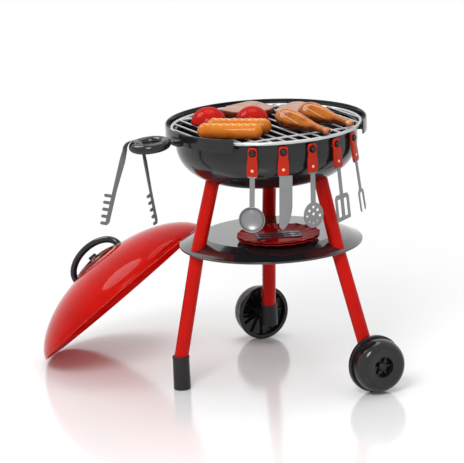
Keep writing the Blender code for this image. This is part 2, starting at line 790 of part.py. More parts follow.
def make_legs(name):
    top, joint, end = leg_points(name)
    bore = LEG_RADIUS - LEG_WALL
    spigot = bore - GAP - (LEG_SPIGOT_LENGTH + joint_gap(name)) * tan(leg_bend(name))
    place, length = along(joint, top)
    length += LEG_RADIUS
    inner = spigot - LEG_WALL
    upper = [(inner, length), (LEG_RADIUS, length), (LEG_RADIUS, 0.0), (spigot, 0.0),
             (spigot, -LEG_SPIGOT_LENGTH), (inner, -LEG_SPIGOT_LENGTH)]
    piece = turned("leg_upper_" + name, upper, "red_satin", place, closed=True, steps=LEG_SIDES)
    combine(piece, bowl_envelope("leg_seat_" + name), "DIFFERENCE")
    place, length = along(end, joint)
    high = length - joint_gap(name)
    lower = [(bore, high), (LEG_RADIUS, high), (LEG_RADIUS, 0.0), (bore, 0.0)]
    turned("leg_lower_" + name, lower, "red_satin", place, closed=True, steps=LEG_SIDES)


def leg_hole(name, part):
    """A cutter that follows a leg tube with the clearance added."""
    top, joint, end = leg_points(name)
    start, finish_at = (joint, top) if part == "upper" else (end, joint)
    place, length = along(start, finish_at)
    low = -LEG_SPIGOT_LENGTH if part == "upper" else -GAP
    return cylinder_cutter("hole_%s_%s" % (part, name), LEG_RADIUS + GAP, low, length, place, LEG_SIDES)


def cap_profile(low, high):
    corners = [(0.0, high, 0), (CAP_RADIUS, high, CAP_ROUND / 3), (CAP_RADIUS, low, CAP_ROUND), (0.0, low, 0)]
    return rounded(corners, 2)


def cap_centre(name):
    """Axis of the upright cap at a leg's lower end, in line with the middle of the leg's seat."""
    _, joint, end = leg_points(name)
    rise = (joint - end).normalized()
    middle = end + rise * (LEG_END_DEPTH / 2 / rise.z)
    return Vector((middle.x, middle.y, 0.0))


def make_foot_cap():
    place = Matrix.Translation(cap_centre("foot"))
    cap = turned("foot_cap", cap_profile(0.0, FOOT_CAP_HEIGHT), "black_satin", place, steps=CAP_SIDES)
    combine(cap, leg_hole("foot", "lower"), "DIFFERENCE")


def wheel_side(name):
    return -1 if name == "front" else 1


def wheel_centre(name):
    cap = cap_centre(name)
    reach = CAP_RADIUS + WHEEL_SPACER + WHEEL_WIDTH / 2
    return Vector((cap.x, cap.y + wheel_side(name) * reach, WHEEL_RADIUS))


def axle_place(name, inset):
    """A place on the wheel's axis, inset from the wheel's middle, +Z pointing outwards."""
    out = Vector((0.0, wheel_side(name), 0.0))
    return facing(wheel_centre(name) - out * inset, out)


def make_wheel_cap(name):
    """The moulded end of a wheeled leg, with a shoulder that spaces the wheel."""
    low = WHEEL_CAP_TOP - WHEEL_CAP_HEIGHT
    place = Matrix.Translation(cap_centre(name))
    cap = turned("leg_cap_" + name, cap_profile(low, WHEEL_CAP_TOP), "black_satin", place, steps=CAP_SIDES)
    combine(cap, leg_hole(name, "lower"), "DIFFERENCE")
    reach = CAP_RADIUS + WHEEL_SPACER
    inset = reach + WHEEL_WIDTH / 2
    place = axle_place(name, inset)
    combine(cap, cylinder_cutter("shoulder_" + name, WHEEL_HUB_RADIUS, 0.0, reach - GAP, place, 16), "UNION")
    bore = cylinder_cutter("axle_hole_" + name, AXLE_RADIUS + GAP, reach - AXLE_SINK - GAP, reach + OVERRUN, place)
    combine(cap, bore, "DIFFERENCE")


def axle_length():
    """From the axle's inner end to the floor of the wheel's outer recess."""
    return AXLE_SINK + WHEEL_WIDTH - WHEEL_RECESS_DEPTH


def make_axle(name):
    inset = AXLE_SINK + WHEEL_WIDTH / 2
    length = axle_length() + HUB_CAP_SINK
    axle = cylinder_mesh("axle_" + name, AXLE_RADIUS, 0.0, length, 12)
    add_piece("axle_" + name, axle, "steel", axle_place(name, inset))
    start = axle_length() + GAP
    cap = rounded([(0.0, start + HUB_CAP_HEIGHT, 0), (HUB_CAP_RADIUS, start + HUB_CAP_HEIGHT, CAP_ROUND),
                   (HUB_CAP_RADIUS, start, 0), (AXLE_RADIUS + GAP, start, 0)], 2)
    cap += [(AXLE_RADIUS + GAP, length + GAP), (0.0, length + GAP)]
    turned("hub_cap_" + name, cap, "black_satin", axle_place(name, inset), steps=14)


def wheel_profile():
    """The wheel's section: bore, recessed hub face, domed tread, flange and hollow back."""
    half = WHEEL_WIDTH / 2
    bore = AXLE_RADIUS + WHEEL_BORE_CLEARANCE
    floor = half - WHEEL_RECESS_DEPTH
    back = -half + WHEEL_BACK_DEPTH
    web = WHEEL_RADIUS - WHEEL_BACK_RIM
    tread = WHEEL_RADIUS - WHEEL_FLANGE
    shoulder = -half + WHEEL_FLANGE_WIDTH
    crown = (tread + WHEEL_RECESS_RADIUS) / 2
    dome = arc(crown, 0.0, tread - crown, half, 90, 0, 4)
    return ([(bore, floor), (WHEEL_RECESS_RADIUS, floor), (WHEEL_RECESS_RADIUS, half * WHEEL_RECESS_LIP_SHARE)]
            + dome
            + [(tread, shoulder), (WHEEL_RADIUS, shoulder), (WHEEL_RADIUS, -half), (web, -half), (web, back),
               (WHEEL_HUB_RADIUS, back), (WHEEL_HUB_RADIUS, -half), (bore, -half)])


def make_wheel(name):
    wheel = turned("wheel_" + name, wheel_profile(), "black_gloss", axle_place(name, 0.0), closed=True,
                   steps=WHEEL_SIDES)
    half = WHEEL_WIDTH / 2
    inner = WHEEL_HUB_RADIUS - OVERRUN / 2
    outer = WHEEL_RADIUS - WHEEL_BACK_RIM / 2
    for index in range(WHEEL_RIB_COUNT):
        turn = axle_place(name, 0.0) @ Matrix.Rotation(2 * pi * index / WHEEL_RIB_COUNT, 4, "Z")
        low = (inner, -WHEEL_RIB_WIDTH / 2, -half * WHEEL_RIB_LOW_SHARE)
        high = (outer, WHEEL_RIB_WIDTH / 2, -half + WHEEL_BACK_DEPTH + OVERRUN / 2)
        combine(wheel, block("rib_%s_%d" % (name, index), low, high, turn), "UNION")


# Shelf

def make_shelf():
    """A shallow dish turned upside down: a flat top and a sloping skirt, with a hole for each leg."""
    top = SHELF_TOP_HEIGHT
    rim_top = top - SHELF_DROP
    rim_low = rim_top - SHELF_LIP
    middle = (SHELF_TOP_RADIUS + SHELF_RIM_RADIUS) / 2
    middle_height = (top + rim_top) / 2 + SHELF_BELLY
    outside = rounded([(0.0, top, 0), (SHELF_TOP_RADIUS, top, SHELF_EDGE_ROUND), (middle, middle_height, 0),
                       (SHELF_RIM_RADIUS, rim_top, SHELF_EDGE_ROUND / 2), (SHELF_RIM_RADIUS, rim_low, 0)], 1)
    inner_rim = SHELF_RIM_RADIUS - SHELF_WALL
    inside = [(inner_rim, rim_low), (inner_rim, rim_top - SHELF_WALL), (middle, middle_height - SHELF_WALL),
              (SHELF_TOP_RADIUS, top - SHELF_WALL), (0.0, top - SHELF_WALL)]
    shelf = turned("shelf", outside + inside, "black_gloss")
    for name in LEGS:
        combine(shelf, leg_hole(name, "upper"), "DIFFERENCE")


# Lid

def lid_tilt():
    """The slope, in radians, that brings the lid's upper edge level with the shelf's rim."""
    return asin((SHELF_TOP_HEIGHT - SHELF_DROP) / (2 * LID_RADIUS))


def lid_axes():
    """The lid's own directions: up its slope, across it, and out through the top of the dome."""
    lean, tilt = radians(LID_LEAN_ANGLE), lid_tilt()
    slope = Vector((cos(lean) * cos(tilt), sin(lean) * cos(tilt), sin(tilt)))
    across = Vector((-sin(lean), cos(lean), 0.0))
    return slope, across, slope.cross(across)


def lid_place():
    """The lid lies on the floor at its low edge and leans on the shelf's rim."""
    slope, across, axis = lid_axes()
    turn = Matrix((slope, across, axis)).transposed().to_4x4()
    reach = SHELF_RIM_RADIUS + LID_RADIUS * cos(lid_tilt()) - LID_SETBACK
    centre = polar(-reach, LID_LEAN_ANGLE) + across * LID_ACROSS
    centre.z = LID_RADIUS * sin(lid_tilt())
    return Matrix.Translation(centre) @ turn


def dome_point(angle, shrink):
    """A point of the dome's section, from the lip at 0 degrees to the top at 90."""
    radius = LID_RADIUS - LID_BEAD - shrink
    rise = LID_HEIGHT - LID_LIP - shrink
    across = cos(radians(angle)) ** LID_RADIUS_POWER_SHARE
    up = sin(radians(angle)) ** LID_HEIGHT_POWER_SHARE
    return radius * across, LID_LIP + rise * up


def dome_curve(shrink):
    """The dome's section from its flat top down to the lip."""
    spots = [dome_point(angle, shrink) for angle in LID_CURVE_ANGLES]
    return [(radius, height) for radius, height in spots if radius > LID_TOP_RADIUS + LID_WALL]


def dome_top():
    """Height of the flat on top of the dome that carries the vent."""
    reach = LID_TOP_RADIUS / (LID_RADIUS - LID_BEAD)
    angle = acos(reach ** (1 / LID_RADIUS_POWER_SHARE))
    return dome_point(degrees(angle), 0.0)[1]


def make_lid():
    top = dome_top()
    outside = [(0.0, top), (LID_TOP_RADIUS, top)] + dome_curve(0.0)
    inside = dome_curve(LID_WALL)[::-1] + [(LID_TOP_RADIUS, top - LID_WALL), (0.0, top - LID_WALL)]
    body = LID_RADIUS - LID_BEAD
    rim = [(body, LID_BEAD_HEIGHT), (LID_RADIUS, LID_BEAD_HEIGHT), (LID_RADIUS, 0.0), (body - LID_WALL, 0.0)]
    lid = turned("lid", outside + rim + inside, "red_gloss", lid_place())
    low, high = top - LID_WALL - OVERRUN, top + OVERRUN
    for index, place in enumerate(damper_holes()):
        combine(lid, cylinder_cutter("lid_hole_%d" % index, DAMPER_HOLE_RADIUS, low, high, place), "DIFFERENCE")
    combine(lid, cylinder_cutter("pin_hole", VENT_PIN_RADIUS + GAP, low, high, lid_place()), "DIFFERENCE")


def damper_holes():
    spread = Vector((DAMPER_HOLE_SPREAD, 0.0, 0.0))
    for index in range(DAMPER_HOLE_COUNT):
        turn = Matrix.Rotation(2 * pi * index / DAMPER_HOLE_COUNT, 4, "Z")
        yield lid_place() @ turn @ Matrix.Translation(spread)


def vent_levels():
    """Heights in the vent: its seat on the dome, the damper's top and the hub's top."""
    seat = dome_top() + GAP
    return seat, seat + DAMPER_THICKNESS, seat + VENT_HUB_HEIGHT


def make_vent_grille():
    """A fixed red grille whose ribs rise from its rim to its hub."""
    seat, damper_top, crown = vent_levels()
    inner = VENT_RADIUS - VENT_RIM_WIDTH
    rim_top = seat + VENT_RIM_HEIGHT
    ring = rounded([(inner, rim_top, 0), (VENT_RADIUS, rim_top, VENT_RIM_WIDTH / 3), (VENT_RADIUS, seat, 0),
                    (inner, seat, 0)], 1)
    grille = turned("vent_grille", ring, "red_satin", lid_place(), closed=True, steps=24)
    bore = VENT_HUB_RADIUS - VENT_HUB_WIDTH
    low = damper_top + GAP
    hub = [(bore, crown), (VENT_HUB_RADIUS, crown), (VENT_HUB_RADIUS, low), (bore, low)]
    combine(grille, turned_cutter("vent_hub", hub, lid_place(), closed=True, steps=16), "UNION")
    near, far = VENT_HUB_RADIUS - VENT_HUB_WIDTH / 2, inner + VENT_RIM_WIDTH / 2
    crest, eaves = crown - VENT_HUB_WIDTH / 2, rim_top - VENT_RIB_THICKNESS / 4
    outline = [(near, crest), (far, eaves), (far, low + GAP), (near, crest - VENT_RIB_THICKNESS)]
    rib, _ = baked(add_cutter("vent_rib_outline", flat_curve("vent_rib", [outline], VENT_RIB_WIDTH)))
    for index in range(VENT_RIB_COUNT):
        turn = Matrix.Rotation(2 * pi * index / VENT_RIB_COUNT, 4, "Z") @ Matrix.Rotation(pi / 2, 4, "X")
        combine(grille, add_cutter("vent_rib_%d" % index, rib, lid_place() @ turn), "UNION")


def make_vent_damper():
    """A black disc that turns under the grille and opens or shuts the lid's holes."""
    seat, damper_top, crown = vent_levels()
    reach = VENT_RADIUS - VENT_RIM_WIDTH - GAP
    disc = [(0.0, damper_top), (reach, damper_top), (reach, seat), (VENT_PIN_RADIUS, seat),
            (VENT_PIN_RADIUS, seat - LID_WALL), (0.0, seat - LID_WALL)]
    damper = turned("vent_damper", disc, "black_satin", lid_place(), steps=24)
    for index, place in enumerate(damper_holes()):
        hole = cylinder_cutter("damper_hole_%d" % index, DAMPER_HOLE_RADIUS, seat - OVERRUN, damper_top + OVERRUN,
                               place)
        combine(damper, hole, "DIFFERENCE")
    low, high = damper_top + GAP, crown + VENT_KNOB_HEIGHT
    knob = rounded([(0.0, high, 0), (VENT_KNOB_RADIUS, high, VENT_KNOB_ROUND), (VENT_KNOB_RADIUS, low, 0),
                    (0.0, low, 0)], 2)
    turned("vent_knob", knob, "black_satin", lid_place(), steps=16)


def make_lid_handle():
    """A half-round bar that stands over the vent, its feet trimmed to the dome."""
    foot = dome_point_at(LID_HANDLE_HALF_SPAN) - LID_WALL
    points = [(LID_HANDLE_HALF_SPAN, 0.0, foot)]
    base = dome_top()
    for x, z in arc(0.0, base, LID_HANDLE_HALF_SPAN, LID_HANDLE_RISE, 0, 180, LID_HANDLE_STEPS):
        points.append((x, 0.0, z))
    points.append((-LID_HANDLE_HALF_SPAN, 0.0, foot))
    curve = add_piece("lid_handle_bar", tube_curve("lid_handle_bar", points, LID_HANDLE_BAR_RADIUS, 2),
                      "black_gloss")
    data, _ = baked(curve)
    handle = add_piece("lid_handle", data, "black_gloss", lid_place())
    smooth(handle.data)
    shell = [(0.0, dome_top() + GAP), (LID_TOP_RADIUS, dome_top() + GAP)]
    shell += [(radius + GAP, height + GAP) for radius, height in dome_curve(0.0)] + [(0.0, LID_LIP)]
    combine(handle, turned_cutter("dome_seat", shell, lid_place()), "DIFFERENCE")


def dome_point_at(radius):
    """Height of the dome's outer side at a radius, read between its section's points."""
    points = [(0.0, dome_top()), (LID_TOP_RADIUS, dome_top())] + dome_curve(0.0)
    for (near, high), (far, low) in zip(points, points[1:]):
        if near <= radius <= far:
            return high + (low - high) * (radius - near) / (far - near)
    return LID_LIP


# Utensils

def utensil_place(index, sway, lean):
    """A hanging utensil's place: x along the rim, y up, z outwards, at its peg."""
    angle = peg_angle(index)
    stand = Matrix.Translation(polar(handle_middle(), angle, PEG_HEIGHT))
    face = Matrix.Rotation(radians(angle + 90), 4, "Z") @ Matrix.Rotation(radians(90), 4, "X")
    return stand @ face @ Matrix.Rotation(radians(sway), 4, "Z") @ Matrix.Rotation(radians(-lean), 4, "X")


def handle_drop(lean):
    """How far a hanging handle's hole lies below its peg's middle, so that it clears the peg."""
    flat = HANDLE_HOLE_RADIUS * cos(pi / HANDLE_HOLE_SIDES)
    return flat - PEG_RADIUS - GAP - HANDLE_THICKNESS / 2 * tan(radians(lean))


def make_handle(name, place, lean):
    top, low = HANDLE_TOP, HANDLE_TOP - HANDLE_LENGTH
    half, waist = HANDLE_WIDTH / 2, HANDLE_WAIST / 2
    neck = -HANDLE_NECK
    outline = rounded_loop([(-waist, top, HANDLE_CORNER), (-waist, neck, 0), (-half, neck * 2, 0),
                            (-half, low, 0), (half, low, 0), (half, neck * 2, 0), (waist, neck, 0),
                            (waist, top, HANDLE_CORNER)])
    hole = circle(HANDLE_HOLE_RADIUS, HANDLE_HOLE_SIDES, y=-handle_drop(lean))
    flat_piece(name + "_handle", [outline, hole], HANDLE_THICKNESS, "red_satin", place)


def blade_top():
    return HANDLE_TOP - HANDLE_LENGTH - GAP


def make_ladle(place):
    half = STICK_WIDTH / 2
    low = -LADLE_DEPTH + LADLE_RADIUS - LADLE_WALL
    stick = [(-half, blade_top()), (half, blade_top()), (half, low), (-half, low)]
    data, _ = baked(flat_piece("ladle_stick", [stick], BLADE_THICKNESS, "silver_plastic"))
    blade = add_piece("ladle_blade", data, "silver_plastic", place)
    lift = BLADE_THICKNESS / 2
    outer = arc(0.0, lift, LADLE_RADIUS, LADLE_CUP_DEPTH, 0, -90, 5)
    inner = arc(0.0, lift, LADLE_RADIUS - LADLE_WALL, LADLE_CUP_DEPTH - LADLE_WALL, -90, 0, 5)
    cup = place @ Matrix.Translation((0.0, -LADLE_DEPTH, 0.0))
    combine(blade, turned_cutter("ladle_cup", inner + outer, cup, steps=16), "UNION")


def make_knife(place):
    top = blade_top()
    edge = arc(-KNIFE_SPINE, -KNIFE_LENGTH * KNIFE_BELLY_START_SHARE, KNIFE_SPINE + KNIFE_BELLY,
               KNIFE_LENGTH * (1 - KNIFE_BELLY_START_SHARE), 0, -75, 6)
    tip_start = -KNIFE_LENGTH * KNIFE_TIP_START_SHARE
    outline = [(-KNIFE_SPINE, top), (KNIFE_BELLY, top)] + edge + [(-KNIFE_SPINE, tip_start)]
    flat_piece("knife_blade", [outline], BLADE_THICKNESS, "silver_plastic", place)


def make_skimmer(place):
    half = STICK_WIDTH / 2
    start = degrees(atan2(sqrt(1 - (STICK_WIDTH / SKIMMER_WIDTH) ** 2), STICK_WIDTH / SKIMMER_WIDTH))
    head = arc(0.0, -SKIMMER_DEPTH, SKIMMER_WIDTH / 2, SKIMMER_HEIGHT / 2, start, start - 360 + 2 * (90 - start), 18)
    outline = [(-half, blade_top()), (half, blade_top())] + head
    holes = []
    for across_share, up_share in SKIMMER_HOLE_SHARES:
        x = across_share * SKIMMER_WIDTH / 2
        y = -SKIMMER_DEPTH + up_share * SKIMMER_HEIGHT / 2
        holes.append(circle(SKIMMER_HOLE_RADIUS, 6, x, y))
    flat_piece("skimmer_blade", [outline] + holes, BLADE_THICKNESS, "silver_plastic", place)


def make_spatula(place):
    stick, half = STICK_WIDTH * SLIM_STICK_SHARE / 2, SPATULA_WIDTH / 2
    top, low = -SPATULA_TOP, -SPATULA_LENGTH
    outline = [(-stick, blade_top()), (stick, blade_top()), (stick, top), (half * SPATULA_SHOULDER_SHARE, top),
               (half, top - SPATULA_SHOULDER), (half, low + SPATULA_SLANT), (-half, low),
               (-half, top - SPATULA_SHOULDER), (-half * SPATULA_SHOULDER_SHARE, top), (-stick, top)]
    slots = []
    for side in (-1, 1):
        near, far = SPATULA_SPINE / 2, half - SPATULA_FRAME
        high, bottom = top - SPATULA_FRAME * SPATULA_HEAD_SHARE, low + SPATULA_SLANT + SPATULA_FRAME
        corner = SPATULA_SPINE / 4
        slots.append(rounded_loop([(side * near, high, corner), (side * far, high, corner),
                                   (side * far, bottom, corner), (side * near, bottom, corner)]))
    flat_piece("spatula_blade", [outline] + slots, BLADE_THICKNESS, "silver_plastic", place)


def make_fork(place):
    stick, half = STICK_WIDTH * SLIM_STICK_SHARE / 2, FORK_WIDTH / 2
    top, low = -FORK_YOKE, -FORK_LENGTH
    inner = half - FORK_TINE
    crotch = top - FORK_YOKE_HEIGHT
    slot = arc(0.0, crotch, inner, FORK_YOKE_HEIGHT / 2, 0, 180, 4)
    outline = ([(-stick, blade_top()), (stick, blade_top()), (stick, top), (half, top - FORK_YOKE_HEIGHT / 2),
                (half, low + FORK_TINE), (inner + FORK_TINE / 4, low)] + slot
               + [(-inner - FORK_TINE / 4, low), (-half, low + FORK_TINE), (-half, top - FORK_YOKE_HEIGHT / 2),
                  (-stick, top)])
    flat_piece("fork_blade", [outline], BLADE_THICKNESS, "silver_plastic", place)


def make_utensils():
    """Ladle, knife, skimmer, spatula and fork, each on its peg and a little off plumb."""
    makers = (("ladle", make_ladle), ("knife", make_knife), ("skimmer", make_skimmer), ("spatula", make_spatula),
              ("fork", make_fork))
    for index, (name, maker) in enumerate(makers):
        sway, lean = UTENSIL_SWAYS[index], UTENSIL_LEANS[index]
        place = utensil_place(index, sway, lean)
        make_handle(name, place, lean)
        maker(place)


# Tongs

def tongs_place():
    """On the far side of the ring handle: x away from the ring, y across, z up from its bar."""
    foot = ring_place() @ polar(RING_RADIUS, TONGS_ANGLE)
    turn = Matrix.Rotation(radians(TONGS_ANGLE), 4, "Z")
    return Matrix.Translation(foot) @ turn


def tongs_drop():
    """Height of the bend's centre below the bar's: the twisted strip's lower edges rest on the bar."""
    return TONGS_BEND - RING_BAR_RADIUS - GAP - TONGS_THICKNESS / 2 - TONGS_TWIST_LIFT


def across_strip(twist):
    return Vector((sin(radians(twist)), cos(radians(twist)), 0.0))


def arm_ends(side, reach):
    start = Vector((side * TONGS_BEND, 0.0, -tongs_drop()))
    return start, Vector((side * reach, 0.0, -TONGS_LENGTH))


def arm_frame(side, reach, twist):
    """A frame at the top of an arm: x across the strip, y down the arm, z through it."""
    start, end = arm_ends(side, reach)
    down = (end - start).normalized()
    through = across_strip(twist).cross(down).normalized()
    turn = Matrix((down.cross(through), down, through)).transposed()
    return Matrix.Translation(start) @ turn.to_4x4()


def eased_section(side, reach, share, twist):
    frame = arm_frame(side, reach, twist)
    start, end = arm_ends(side, reach)
    across = frame.to_3x3() @ Vector((TONGS_WIDTH / 2, 0.0, 0.0))
    deep = frame.to_3x3() @ Vector((0.0, 0.0, TONGS_THICKNESS / 2))
    return start.lerp(end, share), across, deep


def tongs_sections():
    """The bent strip from one arm over the bar to the other, turning as it goes."""
    sections = []
    for share in TONGS_EASE_SHARES[::-1]:
        ease = min(1.0, share / TONGS_EASE_SHARES[-2])
        twist = TONGS_BEND_TWIST + (TONGS_OUTER_TWIST - TONGS_BEND_TWIST) * ease
        sections.append(eased_section(1, TONGS_OUTER_REACH, share, twist))
    for step in range(1, TONGS_BEND_STEPS):
        angle = pi * step / TONGS_BEND_STEPS
        twist = TONGS_BEND_TWIST + (TONGS_INNER_TWIST - TONGS_BEND_TWIST) * step / TONGS_BEND_STEPS
        spot = Vector((TONGS_BEND * cos(angle), 0.0, TONGS_BEND * sin(angle) - tongs_drop()))
        run = Vector((-sin(angle), 0.0, cos(angle)))
        deep = across_strip(twist).cross(run).normalized()
        across = run.cross(deep)
        sections.append((spot, across * TONGS_WIDTH / 2, -deep * TONGS_THICKNESS / 2))
    for share in (TONGS_EASE_SHARES[0], TONGS_EASE_SHARES[-1]):
        spot, across, deep = eased_section(-1, TONGS_INNER_REACH, share, TONGS_INNER_TWIST)
        sections.append((spot, across, -deep))
    return sections


def comb_outline(length):
    """An arm's flat part: a tapering strip that ends in a comb of round-ended teeth."""
    half = TONGS_WIDTH / 2
    start = length * TONGS_EASE_SHARES[-2]
    first = length - (TONGS_TOOTH_COUNT - 1) * TONGS_TOOTH_PITCH - TONGS_TOOTH_HEIGHT
    points = [(half, start), (half, first - TONGS_SHOULDER)]
    for index in range(TONGS_TOOTH_COUNT):
        high = first + index * TONGS_TOOTH_PITCH
        tip = half + TONGS_TOOTH - index * TONGS_TOOTH_TAPER - TONGS_TOOTH_HEIGHT / 2
        if index > 0:
            points.append((half, high))
        points += arc(tip, high + TONGS_TOOTH_HEIGHT / 2, TONGS_TOOTH_HEIGHT / 2, TONGS_TOOTH_HEIGHT / 2, -90, 90, 3)
        if index < TONGS_TOOTH_COUNT - 1:
            points.append((half, high + TONGS_TOOTH_HEIGHT))
    points += [(half - TONGS_SPINE / 2, length), (half - TONGS_SPINE, length - TONGS_TOOTH_HEIGHT)]
    points += [(half - TONGS_SPINE, first - TONGS_SHOULDER), (-half, start)]
    return points


def make_tongs():
    tongs = add_piece("tongs", swept_strip("tongs", tongs_sections()), "silver_plastic", tongs_place())
    arms = ((1, TONGS_OUTER_REACH, TONGS_OUTER_TWIST), (-1, TONGS_INNER_REACH, TONGS_INNER_TWIST))
    for side, reach, twist in arms:
        start, end = arm_ends(side, reach)
        outline = comb_outline((end - start).length)
        name = "tongs_comb_%d" % (side + 1)
        comb, _ = baked(add_cutter(name, flat_curve(name, [outline], TONGS_COMB_THICKNESS)))
        combine(tongs, add_cutter(name, comb, tongs_place() @ arm_frame(side, reach, twist)), "UNION")


# Plates and cutlery

def plate_mesh(name):
    """A plate with a fluted rim, as one surface that Solidify thickens."""
    data = bpy.data.meshes.new(name)
    shape = bmesh.new()
    steps = PLATE_FLUTES * PLATE_FLUTE_STEPS
    section = [(PLATE_BASE_RADIUS, 0.0, 0.0),
               (PLATE_BASE_RADIUS * PLATE_SIDE_SHARE, PLATE_RISE * PLATE_SIDE_RISE_SHARE, PLATE_SIDE_FLUTE_SHARE),
               (PLATE_RADIUS, PLATE_RISE, 1.0)]
    centre = shape.verts.new((0.0, 0.0, 0.0))
    rings = []
    for radius, height, flute in section:
        ring = []
        for step in range(steps):
            angle = 2 * pi * step / steps
            wave = cos(PLATE_FLUTES * angle) * flute * PLATE_FLUTE_DEPTH / 2
            ring.append(shape.verts.new((radius * cos(angle), radius * sin(angle), height + wave)))
        rings.append(ring)
    for step in range(steps):
        after = (step + 1) % steps
        shape.faces.new((centre, rings[0][step], rings[0][after]))
        for inner, outer in zip(rings, rings[1:]):
            shape.faces.new((inner[step], outer[step], outer[after], inner[after]))
    shape.to_mesh(data)
    shape.free()
    smooth(data, 50)
    return data


def plate_pitch():
    return PLATE_WALL + PLATE_FOOT + GAP


def plate_place(level):
    rise = SHELF_TOP_HEIGHT + GAP + PLATE_FOOT + level * plate_pitch()
    return Matrix.Translation((PLATE_X + level * PLATE_SHIFT, PLATE_Y + level * PLATE_SHIFT, rise))


def make_plate(level):
    name = ("plate_lower", "plate_upper")[level]
    plate = add_piece(name, plate_mesh(name), "red_satin", plate_place(level))
    shell = plate.modifiers.new("wall", "SOLIDIFY")
    shell.thickness = PLATE_WALL
    shell.offset = 1
    inner = PLATE_FOOT_RADIUS - PLATE_WALL
    foot = [(inner, PLATE_WALL / 2), (PLATE_FOOT_RADIUS, PLATE_WALL / 2), (PLATE_FOOT_RADIUS, -PLATE_FOOT),
            (inner, -PLATE_FOOT)]
    ring = turned_cutter("foot_ring_%d" % level, foot, plate_place(level), closed=True, steps=16)
    combine(plate, ring, "UNION")


def table_outline(shares):
    """An outline on a piece of cutlery, from shares of its half length and of its half head width."""
    half, head = CUTLERY_LENGTH / 2, CUTLERY_HEAD / 2
    return [(along_share * half, across_share * head) for along_share, across_share in shares]


def table_spoon_outline():
    reach, head = CUTLERY_LENGTH / 2, CUTLERY_HEAD / 2
    neck = reach * SPOON_NECK_SHARE
    bowl = arc((neck + reach) / 2, 0.0, (reach - neck) / 2, head, -150, 150, 10)
    return table_outline(SPOON_STEM_SHARES) + bowl + table_outline([SPOON_NECK_CORNER_SHARES])


def make_cutlery():
    outlines = (("table_knife", table_outline(TABLE_KNIFE_SHARES)), ("table_fork", table_outline(TABLE_FORK_SHARES)),
                ("table_spoon", table_spoon_outline()))
    for row, (name, outline) in enumerate(outlines):
        turn = Matrix.Rotation(radians(CUTLERY_TURN), 4, "Z")
        lift = PLATE_WALL + GAP + CUTLERY_THICKNESS / 2
        place = plate_place(1) @ turn @ Matrix.Translation((0.0, (1 - row) * CUTLERY_PITCH, lift))
        flat_piece(name, [outline], CUTLERY_THICKNESS, "cutlery_grey", place)


# Food

def food_level():
    return grate_top() + GAP


def make_sausage(name, x, y, turn):
    """A capsule lying on the bars, bowed a little along its length."""
    straight = SAUSAGE_LENGTH / 2 - SAUSAGE_RADIUS
    tip = arc(0.0, straight, SAUSAGE_RADIUS, SAUSAGE_RADIUS, 90, 0, 4)
    tail = arc(0.0, -straight, SAUSAGE_RADIUS, SAUSAGE_RADIUS, 0, -90, 4)
    middle = [(SAUSAGE_RADIUS, straight / 2), (SAUSAGE_RADIUS, 0.0), (SAUSAGE_RADIUS, -straight / 2)]
    points = [(max(radius, 0.0), height) for radius, height in tip + middle + tail]
    points[0] = (0.0, points[0][1])
    points[-1] = (0.0, points[-1][1])
    data, _ = baked(turned(name + "_straight", points, "sausage_brown", steps=12))
    half = SAUSAGE_LENGTH / 2
    for vertex in data.vertices:
        vertex.co.x += SAUSAGE_BOW * (vertex.co.z / half) ** 2
    place = Matrix.Translation((x, y, food_level() + SAUSAGE_RADIUS)) @ Matrix.Rotation(radians(turn), 4, "Z")
    lay = Matrix.Rotation(radians(90), 4, "X") @ Matrix.Rotation(radians(90), 4, "Y")
    smooth(data)
    add_piece(name, data, "sausage_brown", place @ lay)


def make_tomato(name, x, y, growth):
    """Half a tomato, cut side down; the growth sets its size against the usual one."""
    radius, height = TOMATO_RADIUS * growth, TOMATO_HEIGHT * growth
    top = arc(0.0, 0.0, radius, height, 90, 8, 5)
    points = [(0.0, height)] + top[1:] + [(radius * TOMATO_FOOT_SHARE, 0.0), (0.0, 0.0)]
    turned(name, points, "tomato_red", Matrix.Translation((x, y, food_level())), steps=16)


def make_steak(name, x, y, shares):
    """A flat slab with a rounded uneven outline and softened edges."""
    corners = []
    for across_share, along_share in shares:
        corners.append((across_share * STEAK_LENGTH / 2, along_share * STEAK_WIDTH / 2, STEAK_CORNER))
    place = Matrix.Translation((x, y, food_level() + STEAK_THICKNESS / 2))
    data, _ = baked(flat_piece(name + "_slab", [rounded_loop(corners, 1)], STEAK_THICKNESS, "steak_brown"))
    steak = add_piece(name, data, "steak_brown", place)
    soften = steak.modifiers.new("soften", "BEVEL")
    soften.width = STEAK_THICKNESS / 5
    soften.segments = 1


def drumstick_depth(slope, size):
    """How far a sloping drumstick reaches below the middle of its plump part."""
    depths = []
    for along_share, radius_share in DRUMSTICK_SHARES:
        run = (along_share - DRUMSTICK_MIDDLE_SHARE) * size
        depths.append(radius_share * DRUMSTICK_RADIUS * cos(slope) + run * sin(slope))
    return max(depths)


def make_drumstick(name, x, y, turn, size, bed):
    """A chicken leg turned along its length; the bed is how far it settles between two bars."""
    points = [(0.0, 0.0)]
    for along_share, radius_share in DRUMSTICK_SHARES:
        points.append((radius_share * DRUMSTICK_RADIUS, -along_share * size))
    points.append((0.0, -size))
    data, _ = baked(turned(name + "_round", points, "chicken_brown", steps=12))
    smooth(data)
    lay = Matrix.Rotation(radians(-90), 4, "Y")
    knuckle_share, knuckle_radius_share = DRUMSTICK_SHARES[-2]
    drop = DRUMSTICK_RADIUS * (1 - knuckle_radius_share)
    slope = atan2(drop, size * (knuckle_share - DRUMSTICK_MIDDLE_SHARE))
    lift = food_level() + drumstick_depth(slope, size) - bed
    place = (Matrix.Translation((x, y, lift)) @ Matrix.Rotation(radians(turn), 4, "Z")
             @ Matrix.Rotation(slope, 4, "Y")
             @ Matrix.Translation((-size * DRUMSTICK_MIDDLE_SHARE, 0.0, 0.0)))
    add_piece(name, data, "chicken_brown", place @ lay)


